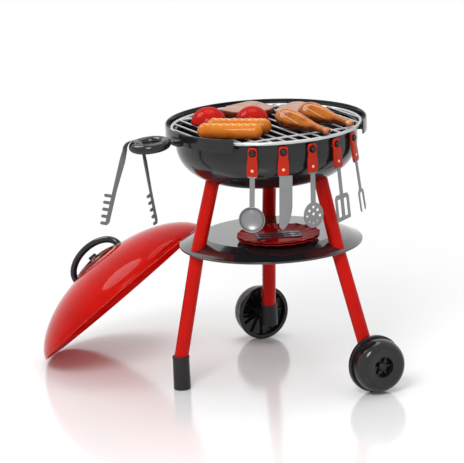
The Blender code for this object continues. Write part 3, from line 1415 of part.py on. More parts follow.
def make_food():
    make_sausage("sausage_front", SAUSAGE_FRONT_X, SAUSAGE_FRONT_Y, SAUSAGE_TURN)
    make_sausage("sausage_back", SAUSAGE_BACK_X, SAUSAGE_BACK_Y, SAUSAGE_TURN)
    make_tomato("tomato_left", TOMATO_LEFT_X, TOMATO_LEFT_Y, TOMATO_LEFT_GROWTH)
    make_tomato("tomato_right", TOMATO_RIGHT_X, TOMATO_RIGHT_Y, TOMATO_RIGHT_GROWTH)
    make_steak("steak_left", STEAK_LEFT_X, STEAK_LEFT_Y, STEAK_LEFT_SHARES)
    make_steak("steak_right", STEAK_RIGHT_X, STEAK_RIGHT_Y, STEAK_RIGHT_SHARES)
    make_drumstick("drumstick_front", DRUMSTICK_FRONT_X, DRUMSTICK_FRONT_Y, DRUMSTICK_FRONT_TURN,
                   DRUMSTICK_FRONT_LENGTH, DRUMSTICK_FRONT_BED)
    make_drumstick("drumstick_back", DRUMSTICK_BACK_X, DRUMSTICK_BACK_Y, DRUMSTICK_BACK_TURN,
                   DRUMSTICK_BACK_LENGTH, DRUMSTICK_BACK_BED)


def centre_set():
    """Move the whole set so that the origin is under the middle of its footprint."""
    bpy.context.view_layer.update()
    graph = bpy.context.evaluated_depsgraph_get()
    low = Vector((inf, inf, inf))
    high = -low
    for piece in PIECES.objects:
        if piece.type == "EMPTY":
            continue
        seen = piece.evaluated_get(graph)
        for corner in seen.to_mesh().vertices:
            spot = piece.matrix_world @ corner.co
            low = Vector(map(min, low, spot))
            high = Vector(map(max, high, spot))
    STAND.location = (-(low.x + high.x) / 2, -(low.y + high.y) / 2, -low.z)
    bpy.context.view_layer.update()


LEGS = ("foot", "front", "back")

clear_scene()
PIECES = make_collection("toy_barbecue_grill")
CUTTERS = make_collection("cutters")
STAND = bpy.data.objects.new("stand", None)
PIECES.objects.link(STAND)


def main():
    make_bowl()
    make_grate()
    make_ring_handle()
    for name in LEGS:
        make_legs(name)
    make_foot_cap()
    for name in ("front", "back"):
        make_wheel_cap(name)
        make_axle(name)
        make_wheel(name)
    make_shelf()
    make_lid()
    make_vent_grille()
    make_vent_damper()
    make_lid_handle()
    make_utensils()
    make_tongs()
    for level in (0, 1):
        make_plate(level)
    make_cutlery()
    make_food()
    centre_set()


main()
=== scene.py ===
"""Toy barbecue grill: the finished look of the set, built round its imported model.

Every piece rides on one of the model's bodies, so the set looks right with its wheels turned, its
lid and grate lifted and its utensils swinging. Lengths are in metres, +Z is up, and the five pegs
for the utensils face -Y. The file is laid out as an add-on and is run as a script.
"""
import json
from math import acos, asin, atan2, cos, degrees, pi, radians, sin, sqrt, tan

import bmesh
import bpy
from bpy.props import FloatProperty, FloatVectorProperty, IntProperty, PointerProperty
from bpy.types import Operator, Panel, PropertyGroup
from mathutils import Matrix, Vector

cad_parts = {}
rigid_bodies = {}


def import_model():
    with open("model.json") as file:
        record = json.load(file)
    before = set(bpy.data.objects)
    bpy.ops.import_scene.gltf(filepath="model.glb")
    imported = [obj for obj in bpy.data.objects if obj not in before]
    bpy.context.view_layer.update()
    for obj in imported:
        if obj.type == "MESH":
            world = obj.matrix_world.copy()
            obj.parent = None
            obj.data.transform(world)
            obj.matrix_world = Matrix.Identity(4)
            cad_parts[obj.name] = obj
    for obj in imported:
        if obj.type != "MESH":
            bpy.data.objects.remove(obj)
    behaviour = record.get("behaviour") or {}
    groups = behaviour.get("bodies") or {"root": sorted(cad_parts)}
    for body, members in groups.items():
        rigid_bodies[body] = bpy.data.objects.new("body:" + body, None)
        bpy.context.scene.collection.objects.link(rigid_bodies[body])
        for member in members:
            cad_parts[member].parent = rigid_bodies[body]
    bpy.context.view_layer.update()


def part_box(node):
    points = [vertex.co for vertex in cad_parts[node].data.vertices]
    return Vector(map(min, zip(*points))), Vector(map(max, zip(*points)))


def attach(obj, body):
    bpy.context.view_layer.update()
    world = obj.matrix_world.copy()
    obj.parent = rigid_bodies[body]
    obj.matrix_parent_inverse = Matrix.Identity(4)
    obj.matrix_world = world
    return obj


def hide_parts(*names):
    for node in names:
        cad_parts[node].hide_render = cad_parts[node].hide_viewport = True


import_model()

bl_info = {
    "name": "Toy barbecue grill",
    "version": (1, 0, 0),
    "blender": (4, 5, 0),
    "location": "3D View > Sidebar > Grill",
    "description": "Builds a toy kettle barbecue with its lid, utensils, plates and pretend food",
    "category": "Add Mesh",
}

MM = 0.001

# The grill's axis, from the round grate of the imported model
GRATE_LOW, GRATE_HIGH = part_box("grate")
AXIS_X = (GRATE_LOW[0] + GRATE_HIGH[0]) / 2
AXIS_Y = (GRATE_LOW[1] + GRATE_HIGH[1]) / 2

# Shared making sizes
GAP = 0.3 * MM
OVERRUN = 4 * MM
WIDE_STEPS = 192
ROUND_STEPS = 144
MIDDLE_STEPS = 96
SMALL_STEPS = 48
FILLET_STEPS = 4
SMOOTH_STEPS = 4
SHARP_ANGLE = 40
SHEET_SHARP_ANGLE = 50

# Kettle bowl
BOWL_RIM_HEIGHT = 534 * MM
BOWL_BAND_DEPTH = 27 * MM
BOWL_WALL = 3 * MM
BOWL_OVERHANG = 20 * MM
BOWL_FLOOR_RADIUS = 80 * MM
BOWL_FLOOR_HEIGHT = 410 * MM
BOWL_CURVE_HEIGHT = 78 * MM
BOWL_STEPS = 26
NOTCH_HALF_ANGLE = 46
PEG_COUNT = 5
PEG_MIDDLE_ANGLE = -89
PEG_PITCH_ANGLE = 18.4
PEG_HEIGHT = 505 * MM
PEG_DISH_SHARE = 0.45
BOWL_LIP_SHARE = 0.48

# Ring handle
RING_REACH = 57.5 * MM
RING_HEIGHT = 515 * MM
RING_TILT = 5
RING_ARM_WIDTH = 20 * MM
RING_ARM_THICKNESS = 9 * MM
RING_PAD_WIDTH = 48 * MM
RING_PAD_HEIGHT = 17 * MM
RING_PAD_THICKNESS = 4 * MM
RING_PAD_RISE = 7 * MM
RING_ARM_STEPS = 8
RING_ARM_FLARE = 3
RING_ARM_SQUARE = 0.6

# Grate
GRATE_HEIGHT = 523 * MM
GRATE_RING_BAR = 3.4 * MM
GRATE_BAR = 1.9 * MM
GRATE_BAR_PITCH = 25.5 * MM
GRATE_CHORD_BAR = 2.4 * MM
GRATE_CHORD_OFFSET = 143 * MM

# Legs and caps
LEGS = ("foot", "front", "back")
LEG_TOP = (127 * MM, 420 * MM)
LEG_JOINT = (168.5 * MM, 277 * MM)
FOOT_END = (218.5 * MM, 56 * MM)
WHEEL_LEG_END = (238.5 * MM, 69 * MM)
FOOT_ANGLES = (180, 180, 180)
WHEEL_LEG_ANGLES = (61, 64, 65.5)
LEG_END_DEPTH = 14 * MM
LEG_WALL = 2.4 * MM
LEG_OVERRUN = 12 * MM
CAP_RADIUS = 17.5 * MM
CAP_HEIGHT = 46 * MM
CAP_LIP_STEP = 0.6 * MM
CAP_LIP_DEPTH = 5 * MM
CAP_LIP_END = 5.6 * MM
CAP_SOLE_ROUND = 3 * MM
SHOULDER_RADIUS = 11 * MM

# Wheels
WHEEL_WIDTH = 48 * MM
WHEEL_SPACER = 7 * MM
WHEEL_FLANGE_STEP = 4 * MM
WHEEL_FLANGE_WIDTH = 10 * MM
WHEEL_FLANGE_GROOVE = 0.7 * MM
WHEEL_FLANGE_ROUND = 1.6 * MM
WHEEL_RIM_WALL = 8 * MM
WHEEL_BORE = 4.5 * MM
WHEEL_HUB_RADIUS = 11 * MM
WHEEL_BACK_DEPTH = 16 * MM
WHEEL_RIB_COUNT = 12
WHEEL_RIB_SHARE = 0.62
RECESS_RADIUS = 21 * MM
RECESS_DEPTH = 18 * MM
RECESS_LIP_SHARE = 0.85
RECESS_HUB_RADIUS = 9.5 * MM
RECESS_HUB_DEPTH = 13 * MM
SPOKE_COUNT = 6
SPOKE_HALF_WIDTH = 1.6 * MM
SPOKE_DEPTH = 12.5 * MM
HUB_BUTTON_RADIUS = 9 * MM
HUB_BUTTON_DEPTH = 12.7 * MM
HUB_BUTTON_RIM = 3 * MM
HUB_BUTTON_DOME = 5 * MM
HUB_BUTTON_HEIGHT = 8 * MM

# Shelf
SHELF_TOP_HEIGHT = 298 * MM
SHELF_DROP = 17 * MM
SHELF_LIP = 5 * MM
SHELF_WALL = 2.5 * MM
SHELF_SWELL = 1.2 * MM
SHELF_DISH_ROUND = 30 * MM
SHELF_HOLE_DEPTH = 12 * MM

# Lid
LID_LEAN_ANGLE = -45.4
LID_ACROSS = 48.6 * MM
LID_SETBACK = 3.4 * MM
LID_LIP = 5 * MM
LID_BEAD = 2 * MM
LID_BEAD_HEIGHT = 4 * MM
LID_WALL = 2.4 * MM
LID_STEPS = 48
LID_TOP_RADIUS = 56 * MM
LID_RADIUS_POWER = 0.88
LID_HEIGHT_POWER = 1.42
LID_INSET = 0.12 * MM
VENT_RADIUS = 52 * MM
VENT_HUB_RADIUS = 14 * MM
VENT_HUB_HEIGHT = 12 * MM
VENT_RIM_WIDTH = 6.5 * MM
VENT_RIM_HEIGHT = 5 * MM
VENT_HUB_WALL = 3 * MM
VENT_RIB_COUNT = 10
VENT_RIB_BAR = 1.7 * MM
VENT_RIB_SQUASH = 1.2
VENT_RIB_SINK = 2.5 * MM
VENT_RIB_STEPS = 8
VENT_RIB_POWER = 1.8
DAMPER_THICKNESS = 1.6 * MM
DAMPER_HOLE_RADIUS = 8 * MM
DAMPER_HOLE_SPREAD = 29 * MM
DAMPER_HOLE_COUNT = 4
DAMPER_PIN_RADIUS = 4 * MM
KNOB_RADIUS = 9 * MM
KNOB_RISE = 6 * MM
KNOB_DISH_SHARE = 0.55
KNOB_LIP_SHARE = 0.75
KNOB_DISH = 1.2 * MM

# Lid handle
HANDLE_SPAN = 64.5 * MM
HANDLE_RISE = 37 * MM
HANDLE_BAR = 7 * MM
HANDLE_FOOT_BAR = 8.4 * MM
HANDLE_ANKLE_BAR = 7.6 * MM

# Utensils
UTENSILS = ("ladle", "knife", "skimmer", "spatula", "fork")
UTENSIL_SWAYS = (-2.9, -2.3, -1.2, 3.4, 6.5)
UTENSIL_LEANS = (0, 0, 0, 2, 4)
HANDLE_TOP = 10.5 * MM
HANDLE_LENGTH = 58.5 * MM
HANDLE_WAIST = 19 * MM
HANDLE_NECK = 12 * MM
HANDLE_THICKNESS = 5.5 * MM
HANDLE_HOLE_RADIUS = 7 * MM
HANDLE_STANDOFF = 3.2 * MM
HANDLE_EDGE = 1.3 * MM
HANDLE_HOLE_SIDES = 12
GRIP_RIB_BAR = 0.8 * MM
GRIP_RIB_PITCH = 4 * MM
GRIP_RIB_SINK = 0.5 * MM
GRIP_RIB_ENDS = (-14 * MM, -24 * MM)
DOT_RADIUS = 3.4 * MM
DOT_HEIGHT = 12 * MM
DOT_SINK = 0.3 * MM
DOT_SWELL = 0.6 * MM
PEG_RADIUS = 5.5 * MM
BLADE_THICKNESS = 2.6 * MM
BLADE_EDGE = 0.5 * MM
COLLAR_HEIGHT = 2.4 * MM
COLLAR_SHARE = 0.44
COLLAR_EDGE = 0.5 * MM
STICK_WIDTH = 10.5 * MM
STICK_EDGE = 0.7 * MM
SLIM_STICK_SHARE = 0.4
LADLE_DEPTH = 136 * MM
LADLE_RADIUS = 26.5 * MM
LADLE_CUP_DEPTH = 13 * MM
LADLE_WALL = 2 * MM
LADLE_LIP = 0.6 * MM
KNIFE_LENGTH = 161 * MM
KNIFE_SPINE = 8 * MM
KNIFE_BELLY = 18.5 * MM
KNIFE_STRAIGHT_SHARE = 0.66
KNIFE_CURVE_SHARE = 0.34
KNIFE_TIP_SHARE = 0.95
KNIFE_EDGE = 0.9 * MM
SKIMMER_DEPTH = 135.5 * MM
SKIMMER_WIDTH = 44 * MM
SKIMMER_HEIGHT = 52 * MM
SKIMMER_HOLE_RADIUS = 3 * MM
SKIMMER_HOLES = ((0, 0.62), (-0.42, 0.36), (0.42, 0.36), (-0.66, -0.08), (0, 0.08), (0.66, -0.08),
                 (-0.40, -0.50), (0.40, -0.50), (0, -0.66))
SPATULA_TOP = 105 * MM
SPATULA_LENGTH = 160 * MM
SPATULA_WIDTH = 40 * MM
SPATULA_SLANT = 3 * MM
SPATULA_FRAME = 6 * MM
SPATULA_TOP_FRAME = 1.5
SPATULA_BRIDGE = 4 * MM
SPATULA_SHOULDER = 7 * MM
SPATULA_SHOULDER_SHARE = 0.8
FORK_YOKE = 108 * MM
FORK_LENGTH = 156 * MM
FORK_WIDTH = 24 * MM
FORK_TINE = 5 * MM
FORK_CROTCH = 14 * MM
FORK_EDGE = 0.6 * MM

# Tongs
TONGS_BEND = 18 * MM
TONGS_ANGLE = 153
TONGS_LENGTH = 158.5 * MM
TONGS_WIDTH = 12 * MM
TONGS_SPINE = 8.5 * MM
TONGS_THICKNESS = 2.6 * MM
TONGS_OUTER_REACH = 60.5 * MM
TONGS_INNER_REACH = 39.5 * MM
TONGS_TOOTH = 15 * MM
TONGS_TOOTH_HEIGHT = 6.5 * MM
TONGS_TOOTH_PITCH = 14.4 * MM
TONGS_EASE = 0.15
TONGS_SLACK = 1.1 * MM
TONGS_SQUARE = 0.4
TONGS_OVERLAP = 1.2
TONGS_EASE_STEPS = 12
TONGS_BEND_STEPS = 24
COMB_TEETH = 5
COMB_THICKNESS = 3 * MM
COMB_EDGE = 0.8 * MM
COMB_WAIST = 9 * MM
COMB_TAPER = 1.2 * MM
OUTER_TWIST = 75
BEND_TWIST = 45
INNER_TWIST = 25

# Plates and cutlery
PLATE_RISE = 5.5 * MM
PLATE_WALL = 1.6 * MM
PLATE_FOOT = 2.2 * MM
PLATE_FLUTE_DEPTH = 1.6 * MM
PLATE_BASE_RADIUS = 54 * MM
PLATE_FOOT_RADIUS = 46 * MM
PLATE_STRAIGHT = 0.75
PLATE_CURVE = 0.25
PLATE_EDGE = 0.2 * MM
PLATE_STEPS = 12
FLUTE_STEPS = 12
PLATE_X = -19.5 * MM
PLATE_Y = -72 * MM
PLATE_SHIFT = 1.5 * MM
CUTLERY_LENGTH = 92 * MM
CUTLERY_THICKNESS = 2 * MM
CUTLERY_HEAD = 13 * MM
CUTLERY_PITCH = 17 * MM
CUTLERY_TURN = -20
CUTLERY_RIB_BAR = 0.9 * MM
CUTLERY_RIB_RISE = 0.7 * MM
CUTLERY_RIB_ENDS = (-0.44, 0.1)
CUTLERY_EDGE = 0.6 * MM
SPOON_NECK = 0.45
SPOON_STEM_END = 0.54
SPOON_STEM_NECK = 0.32
TABLE_KNIFE = ((-1.0, -0.54), (0.18, -0.54), (0.95, -0.81), (1.0, 0.22), (0.9, 0.54), (-1.0, 0.54))
TABLE_FORK = ((-1.0, 0.54), (-1.0, -0.54), (0.45, -0.32), (0.56, -1.0), (1.0, -1.0), (1.0, -0.6),
              (0.72, -0.6), (0.72, -0.2), (1.0, -0.2), (1.0, 0.2), (0.72, 0.2), (0.72, 0.6), (1.0, 0.6),
              (1.0, 1.0), (0.56, 1.0), (0.45, 0.32))

# Food
FOOD_LEVEL = GRATE_HEIGHT + GRATE_RING_BAR + GAP
SAUSAGE_RADIUS = 15.5 * MM
SAUSAGE_BOW = 4 * MM
SAUSAGE_TURN = -40
RELISH_BAR = 2.3 * MM
RELISH_SINK = 1.6 * MM
RELISH_REACH = 0.82
RELISH_STEPS = 120
RELISH_WAVES = 8
RELISH_SWING = 15
RELISH_LEAN = -8
SAUSAGE_FRONT = (-131.5 * MM, -98 * MM)
SAUSAGE_BACK = (-95 * MM, -66 * MM)
TOMATO_HEIGHT = 31 * MM
TOMATO_EDGE = 2 * MM
TOMATO_FOOT_SHARE = 0.95
TOMATO_LEFT = (-97 * MM, 66 * MM)
TOMATO_RIGHT = (-17 * MM, 28 * MM)
TOMATO_LEFT_GROWTH = 1.08
STEAK_LENGTH = 104 * MM
STEAK_WIDTH = 112 * MM
STEAK_THICKNESS = 13 * MM
STEAK_CORNER = 14 * MM
STEAK_EDGE = 3.5 * MM
STEAK_LEFT = (10 * MM, 108 * MM)
STEAK_RIGHT = (88 * MM, 52 * MM)
STEAK_LEFT_SHARES = ((-1.0, 0.31), (-0.5, 0.66), (0.69, 1.0), (0.92, 0.72), (1.0, -0.5), (0.6, -0.84),
                     (0.25, -0.94), (-0.77, -0.45))
STEAK_RIGHT_SHARES = ((-0.94, -0.2), (-0.42, 0.28), (0.39, 0.8), (0.78, 0.7), (0.94, 0.14), (0.62, -0.57),
                      (-0.06, -0.84), (-0.63, -0.75))
DRUMSTICK_RADIUS = 21.5 * MM
DRUMSTICK_MIDDLE = 0.26
DRUMSTICK_SHARES = ((0.02, 0.32), (0.08, 0.66), (0.17, 0.93), (0.26, 1.0), (0.38, 0.92), (0.5, 0.75),
                    (0.62, 0.56), (0.74, 0.39), (0.85, 0.32), (0.93, 0.42), (0.985, 0.33))
MEAT_FULLNESS = 0.975
MEAT_TAPER = 0.72
SWELL_LOSS = 0.02
CREST_SHARE = 0.2
CREST_ANGLE = 98
CREST_HEIGHT = 0.10
HOLLOW_START = 80
HOLLOW_ANGLE = 142
HOLLOW_SPREAD = 1.9
HOLLOW_DEPTH = 0.17
MEAT_FOLDS = ((0.10, 0.66, 118, 104), (0.08, 0.62, 128, 186))
FOLD_SINK = 0.9 * MM
FOLD_STEPS = 24
CUT_DEPTH = 0.05
CUT_RISE = 0.05
CUT_SLANT = 0.03
CUT_BULGE = 0.3
KNUCKLE_LENGTH = 7.4 * MM
KNUCKLE_WIDTH = 6.6 * MM
KNUCKLE_SPREAD = 2.4 * MM
KNUCKLE_SHARE = 0.935
BONE_RADIUS = 4 * MM
BONE_NECK = 4.5 * MM
BONE_SHARE = 0.985
DRUMSTICKS = (("front", (7 * MM, -92 * MM), -71, 149 / 150, 1.1 * MM),
              ("back", (72 * MM, -70 * MM), -67, 140 / 150, 0.0))

# Finishes
SKIN_OUTPUTS = (("Colour", "NodeSocketColor"), ("Roughness", "NodeSocketFloat"),
                ("Height", "NodeSocketFloat"))
FLOW_SHADE = 0.16
FLOW_ROUGHNESS = 0.16
FLOW_HEIGHT = 0.9
PEEL_HEIGHT = 0.6
RUB_TONE = 0.30
RUB_ROUGHNESS = 0.25
RUB_DEPTH = 0.3
LINT_TONE = 0.25
FIBRE_TONE = 0.5
PATCH_ROUGHNESS = 0.3
PATCH_HEIGHT = 0.7
PORE_HEIGHT = 0.25
MOULDED_DENT = 0.4 * MM
COOKED_DENT = 0.5 * MM
FLOOR_ROUGHNESS = 0.13
FLOOR_SPECULAR = 1.0

# Camera, in the photograph's frame of 464 by 463 pixels
PHOTO_WIDTH = 464
FOCAL_PIXELS = 3417.4
CAMERA_AZIMUTH = -26.98
CAMERA_ELEVATION = 13.66
CAMERA_ROLL = -2.44
CAMERA_DISTANCE = 7.0
CAMERA_TARGET_HEIGHT = 298 * MM
CAMERA_SHIFT_PIXELS = 38.6

# Studio
FLOOR_SPAN = 60.0
FLOOR_NEAR = 0.55
FLOOR_FAR = 1.5
WORLD_SEEN = 1.0
WORLD_LIGHT = 0.72
SENSOR_WIDTH = 36.0
CLIP_END = 50.0
LAMPS = (("key_light", (-1.5, -1.6, 1.9), 45, 1.2, True),
         ("top_light", (0.4, 0.6, 2.4), 18, 1.6, True),
         ("gloss_light", (-1.5, 1.6, 2.7), 70, 1.9, False))


# Sizes and colours in the sidebar

def measure(name, words, value):
    """A length property with its default."""
    return FloatProperty(name=name, description=words, default=value, unit="LENGTH")


class GrillSizes(PropertyGroup):
    """Sizes of the grill's main pieces."""
    bowl_rim_radius: measure("Bowl rim radius", "Radius of the band round the bowl's rim", 205 * MM)
    grate_ring_radius: measure("Grate radius", "Radius of the grate's ring, to its bar's middle", 192.5 * MM)
    loop_radius: measure("Ring handle radius", "Radius of the ring handle, to its bar's middle", 32.5 * MM)
    loop_bar: measure("Ring handle bar", "Radius of the ring handle's bar", 10 * MM)
    leg_radius: measure("Leg radius", "Radius of the red tubes of the legs", 14.3 * MM)
    wheel_radius: measure("Wheel radius", "Radius of the wheels' back flange", 58 * MM)
    shelf_top_radius: measure("Shelf top radius", "Radius of the shelf's flat top", 138.5 * MM)
    shelf_rim_radius: measure("Shelf rim radius", "Radius of the shelf's outer edge", 188 * MM)
    lid_radius: measure("Lid radius", "Radius of the lid's lip", 215 * MM)
    lid_height: measure("Lid height", "Height of the lid's dome from its lip", 88.5 * MM)
    handle_width: measure("Utensil handle width", "Width of a hanging handle at its lower end", 22.5 * MM)
    plate_radius: measure("Plate radius", "Radius of the fluted plates", 84 * MM)
    sausage_length: measure("Sausage length", "Length of a sausage from end to end", 133 * MM)
    tomato_radius: measure("Tomato radius", "Radius of a half tomato at its foot", 34 * MM)
    drumstick_length: measure("Drumstick length", "Length of a drumstick with its knuckle", 150 * MM)
    flute_count: IntProperty(
        name="Plate flutes", description="Number of flutes round a plate's rim", default=20, min=3)


def colour(name, words, value):
    """A colour property with its default."""
    return FloatVectorProperty(name=name, description=words, subtype="COLOR", size=3, min=0.0, max=1.0,
                               default=value)


class GrillColours(PropertyGroup):
    """Base colours of the grill's finishes."""
    black: colour("Black plastic", "Bowl, shelf, wheels and handles", (0.011, 0.011, 0.012))
    satin_black: colour("Satin black plastic", "Leg caps, damper and knob", (0.015, 0.014, 0.015))
    red: colour("Gloss red plastic", "Lid", (0.50, 0.004, 0.001))
    satin_red: colour("Satin red plastic", "Legs", (0.50, 0.004, 0.001))
    handle_red: colour("Handle red plastic", "Utensil handles", (0.42, 0.014, 0.003))
    plate_red: colour("Plate red plastic", "Plates", (0.30, 0.004, 0.003))
    grate_grey: colour("Light grey plastic", "Grate", (0.52, 0.52, 0.53))
    vent_red: colour("Dark red plastic", "Cage of the lid's vent", (0.13, 0.005, 0.004))
    silver: colour("Silver plastic", "Utensil blades", (0.22, 0.222, 0.228))
    tongs_grey: colour("Grey plastic", "Tongs", (0.13, 0.13, 0.135))
    ladle_grey: colour("Ladle grey", "Ladle", (0.26, 0.26, 0.27))
    cutlery: colour("Dark plastic", "Table cutlery", (0.045, 0.038, 0.052))
    steel: colour("Steel", "Axle pins", (0.55, 0.55, 0.56))
    sausage: colour("Sausage", "Sausage skin", (0.58, 0.175, 0.010))
    relish: colour("Relish", "Wavy line on the sausages", (0.70, 0.33, 0.08))
    tomato: colour("Tomato", "Tomato skin", (0.46, 0.007, 0.003))
    meat: colour("Steak", "Grilled sides of the steaks", (0.47, 0.26, 0.185))
    chicken: colour("Drumstick", "Roasted skin of the drumsticks", (0.50, 0.145, 0.012))
    floor: colour("Floor", "Studio floor", (0.93, 0.93, 0.93))


# Shapes

def polar(radius, angle, height=0.0):
    return Vector((radius * cos(radians(angle)), radius * sin(radians(angle)), height))


def turned(angle, axis="Z"):
    """A turn about an axis, in degrees."""
    return Matrix.Rotation(radians(angle), 4, axis)


def spaced(index, count):
    """The turn of one of several pieces set evenly round +Z."""
    return Matrix.Rotation(2 * pi * index / count, 4, "Z")


def ellipse(centre_x, centre_y, radius_x, radius_y, start, end, steps):
    """Points on an ellipse from start to end, both in degrees."""
    points = []
    for step in range(steps + 1):
        angle = radians(start + (end - start) * step / steps)
        points.append((centre_x + radius_x * cos(angle), centre_y + radius_y * sin(angle)))
    return points


def ring_path(radius, height=0.0):
    """Points round +Z, for a bar that closes on itself."""
    return [polar(radius, 360 * step / ROUND_STEPS, height) for step in range(ROUND_STEPS)]


def circle(radius, steps, x=0.0, y=0.0):
    return ellipse(x, y, radius, radius, 0, 360 * (steps - 1) / steps, steps - 1)


def corner_arc(here, before, after, radius, steps):
    half = before.angle(after) / 2
    back = min(radius / tan(half), before.length / 2, after.length / 2)
    start = here + before.normalized() * back
    end = here + after.normalized() * back
    points = []
    for step in range(steps + 1):
        share = step / steps
        points.append(tuple(start.lerp(here, share).lerp(here.lerp(end, share), share)))
    return points


def fillet(corners, loop=False, steps=FILLET_STEPS):
    """A chain of (x, y) or (x, y, radius) corners with the ones that have a radius rounded."""
    points = []
    count = len(corners)
    for index, corner in enumerate(corners):
        here = Vector(corner[:2])
        if len(corner) == 2 or (not loop and index in (0, count - 1)):
            points.append(tuple(here))
            continue
        before = Vector(corners[index - 1][:2]) - here
        after = Vector(corners[(index + 1) % count][:2]) - here
        points += corner_arc(here, before, after, corner[2], steps)
    return points


def facing(spot, direction):
    """A place at a spot whose +Z points in a direction."""
    turn = Vector(direction).to_track_quat("Z", "Y").to_matrix().to_4x4()
    return Matrix.Translation(spot) @ turn


def along(start, end):
    run = Vector(end) - Vector(start)
    return facing(start, run), run.length


def grill_place(x=0.0, y=0.0, z=0.0):
    """A place given from the grill's axis."""
    return Matrix.Translation((AXIS_X + x, AXIS_Y + y, z))


def placed(name, data):
    """A new object of the given data, in the scene."""
    holder = bpy.data.objects.new(name, data)
    bpy.context.scene.collection.objects.link(holder)
    return holder


def softened(data, angle=SHARP_ANGLE):
    """A mesh shaded smooth but for its sharp edges."""
    data.shade_smooth()
    data.set_sharp_from_angle(angle=radians(angle))
    return data


def closed_mesh(name, shape, angle=SHARP_ANGLE):
    """The finished mesh of a bmesh: normals out, smooth but for sharp edges."""
    bmesh.ops.remove_doubles(shape, verts=shape.verts, dist=0.001 * MM)
    bmesh.ops.recalc_face_normals(shape, faces=shape.faces)
    data = bpy.data.meshes.new(name)
    shape.to_mesh(data)
    shape.free()
    return softened(data, angle)


def lathe(name, points, steps=ROUND_STEPS, closed=False, flute=None, angle=SHARP_ANGLE):
    """A turned form. flute gives a rise for an angle and a radius, for a fluted rim."""
    shape = bmesh.new()
    rings = []
    for radius, height in points:
        if radius <= 0.0:
            rings.append([shape.verts.new((0.0, 0.0, height))])
            continue
        ring = []
        for step in range(steps):
            turn = 2 * pi * step / steps
            rise = flute(turn, radius) if flute else 0.0
            ring.append(shape.verts.new((radius * cos(turn), radius * sin(turn), height + rise)))
        rings.append(ring)
    pairs = list(zip(rings, rings[1:]))
    if closed:
        pairs.append((rings[-1], rings[0]))
    for first, second in pairs:
        for step in range(steps):
            bridge(shape, first, second, step, (step + 1) % steps)
    return closed_mesh(name, shape, angle)


def bridge(shape, first, second, here, after):
    """One face between two rings, either of which may be a single point."""
    if len(first) == 1 and len(second) == 1:
        return
    if len(first) == 1:
        shape.faces.new((first[0], second[here], second[after]))
    elif len(second) == 1:
        shape.faces.new((first[here], second[0], first[after]))
    else:
        shape.faces.new((first[here], second[here], second[after], first[after]))


def loft(name, rings, cyclic=False):
    """A form through rings of points, capped at both ends unless it closes on itself."""
    shape = bmesh.new()
    made = [[shape.verts.new(point) for point in ring] for ring in rings]
    pairs = list(zip(made, made[1:]))
    if cyclic:
        pairs.append((made[-1], made[0]))
    sides = len(made[0])
    for first, second in pairs:
        for side in range(sides):
            bridge(shape, first, second, side, (side + 1) % sides)
    if not cyclic:
        shape.faces.new(made[0])
        shape.faces.new(made[-1])
    return closed_mesh(name, shape)


def section_ring(centre, across, up, sides, square=1.0):
    """An ellipse, or with square under 1 a rounded rectangle, in the plane of across and up."""
    ring = []
    for side in range(sides):
        turn = 2 * pi * side / sides
        x = abs(cos(turn)) ** square * (1 if cos(turn) >= 0 else -1)
        y = abs(sin(turn)) ** square * (1 if sin(turn) >= 0 else -1)
        ring.append(centre + across * x + up * y)
    return ring


def sweep(name, path, radii, sides, cyclic=False, squash=1.0, side=None):
    """A round bar along a path; radii is one radius or one for each point."""
    count = len(path)
    spots = [Vector(point) for point in path]
    rings = []
    across = None
    for index, spot in enumerate(spots):
        before = spots[index - 1] if index or cyclic else spot
        after = spots[(index + 1) % count] if index < count - 1 or cyclic else spot
        run = (after - before).normalized()
        if across is None:
            across = Vector(side) if side else run.orthogonal()
        across = (across - run * across.dot(run)).normalized()
        radius = radii[index] if isinstance(radii, (list, tuple)) else radii
        rings.append(section_ring(spot, across * radius, run.cross(across) * radius * squash, sides))
    return loft(name, rings, cyclic)


def prism(name, outline, low, high):
    """An outline in X and Y raised from low to high."""
    rings = [[(x, y, level) for x, y in outline] for level in (low, high)]
    return loft(name, rings)


def box_mesh(name, low, high):
    outline = [(low[0], low[1]), (high[0], low[1]), (high[0], high[1]), (low[0], high[1])]
    return prism(name, outline, low[2], high[2])


def sheet_form(name, outlines, thickness, edge):
    """A flat piece from an outline and its holes, its edges rounded."""
    data = bpy.data.curves.new(name, "CURVE")
    data.dimensions = "2D"
    data.fill_mode = "BOTH"
    data.extrude = thickness / 2 - edge
    data.bevel_depth = edge
    data.bevel_resolution = 2
    data.offset = -edge
    for outline in outlines:
        spline = data.splines.new("POLY")
        spline.points.add(len(outline) - 1)
        for point, (x, y) in zip(spline.points, outline):
            point.co = (x, y, 0.0, 1.0)
        spline.use_cyclic_u = True
    made = evaluated(placed(name, data))
    shape = bmesh.new()
    shape.from_mesh(made)
    bpy.data.meshes.remove(made)
    return closed_mesh(name, shape, SHEET_SHARP_ANGLE)


def evaluated(holder):
    """The mesh that an object comes to; the object itself is removed."""
    bpy.context.view_layer.update()
    seen = holder.evaluated_get(bpy.context.evaluated_depsgraph_get())
    data = bpy.data.meshes.new_from_object(seen)
    bpy.data.objects.remove(holder, do_unlink=True)
    return data


def gathered(name, parts):
    """One mesh of several, each given with its place or None."""
    shape = bmesh.new()
    for data, place in parts:
        copy = data.copy()
        if place is not None:
            copy.transform(place)
        shape.from_mesh(copy)
        bpy.data.meshes.remove(copy)
    made = bpy.data.meshes.new(name)
    shape.to_mesh(made)
    shape.free()
    return softened(made)


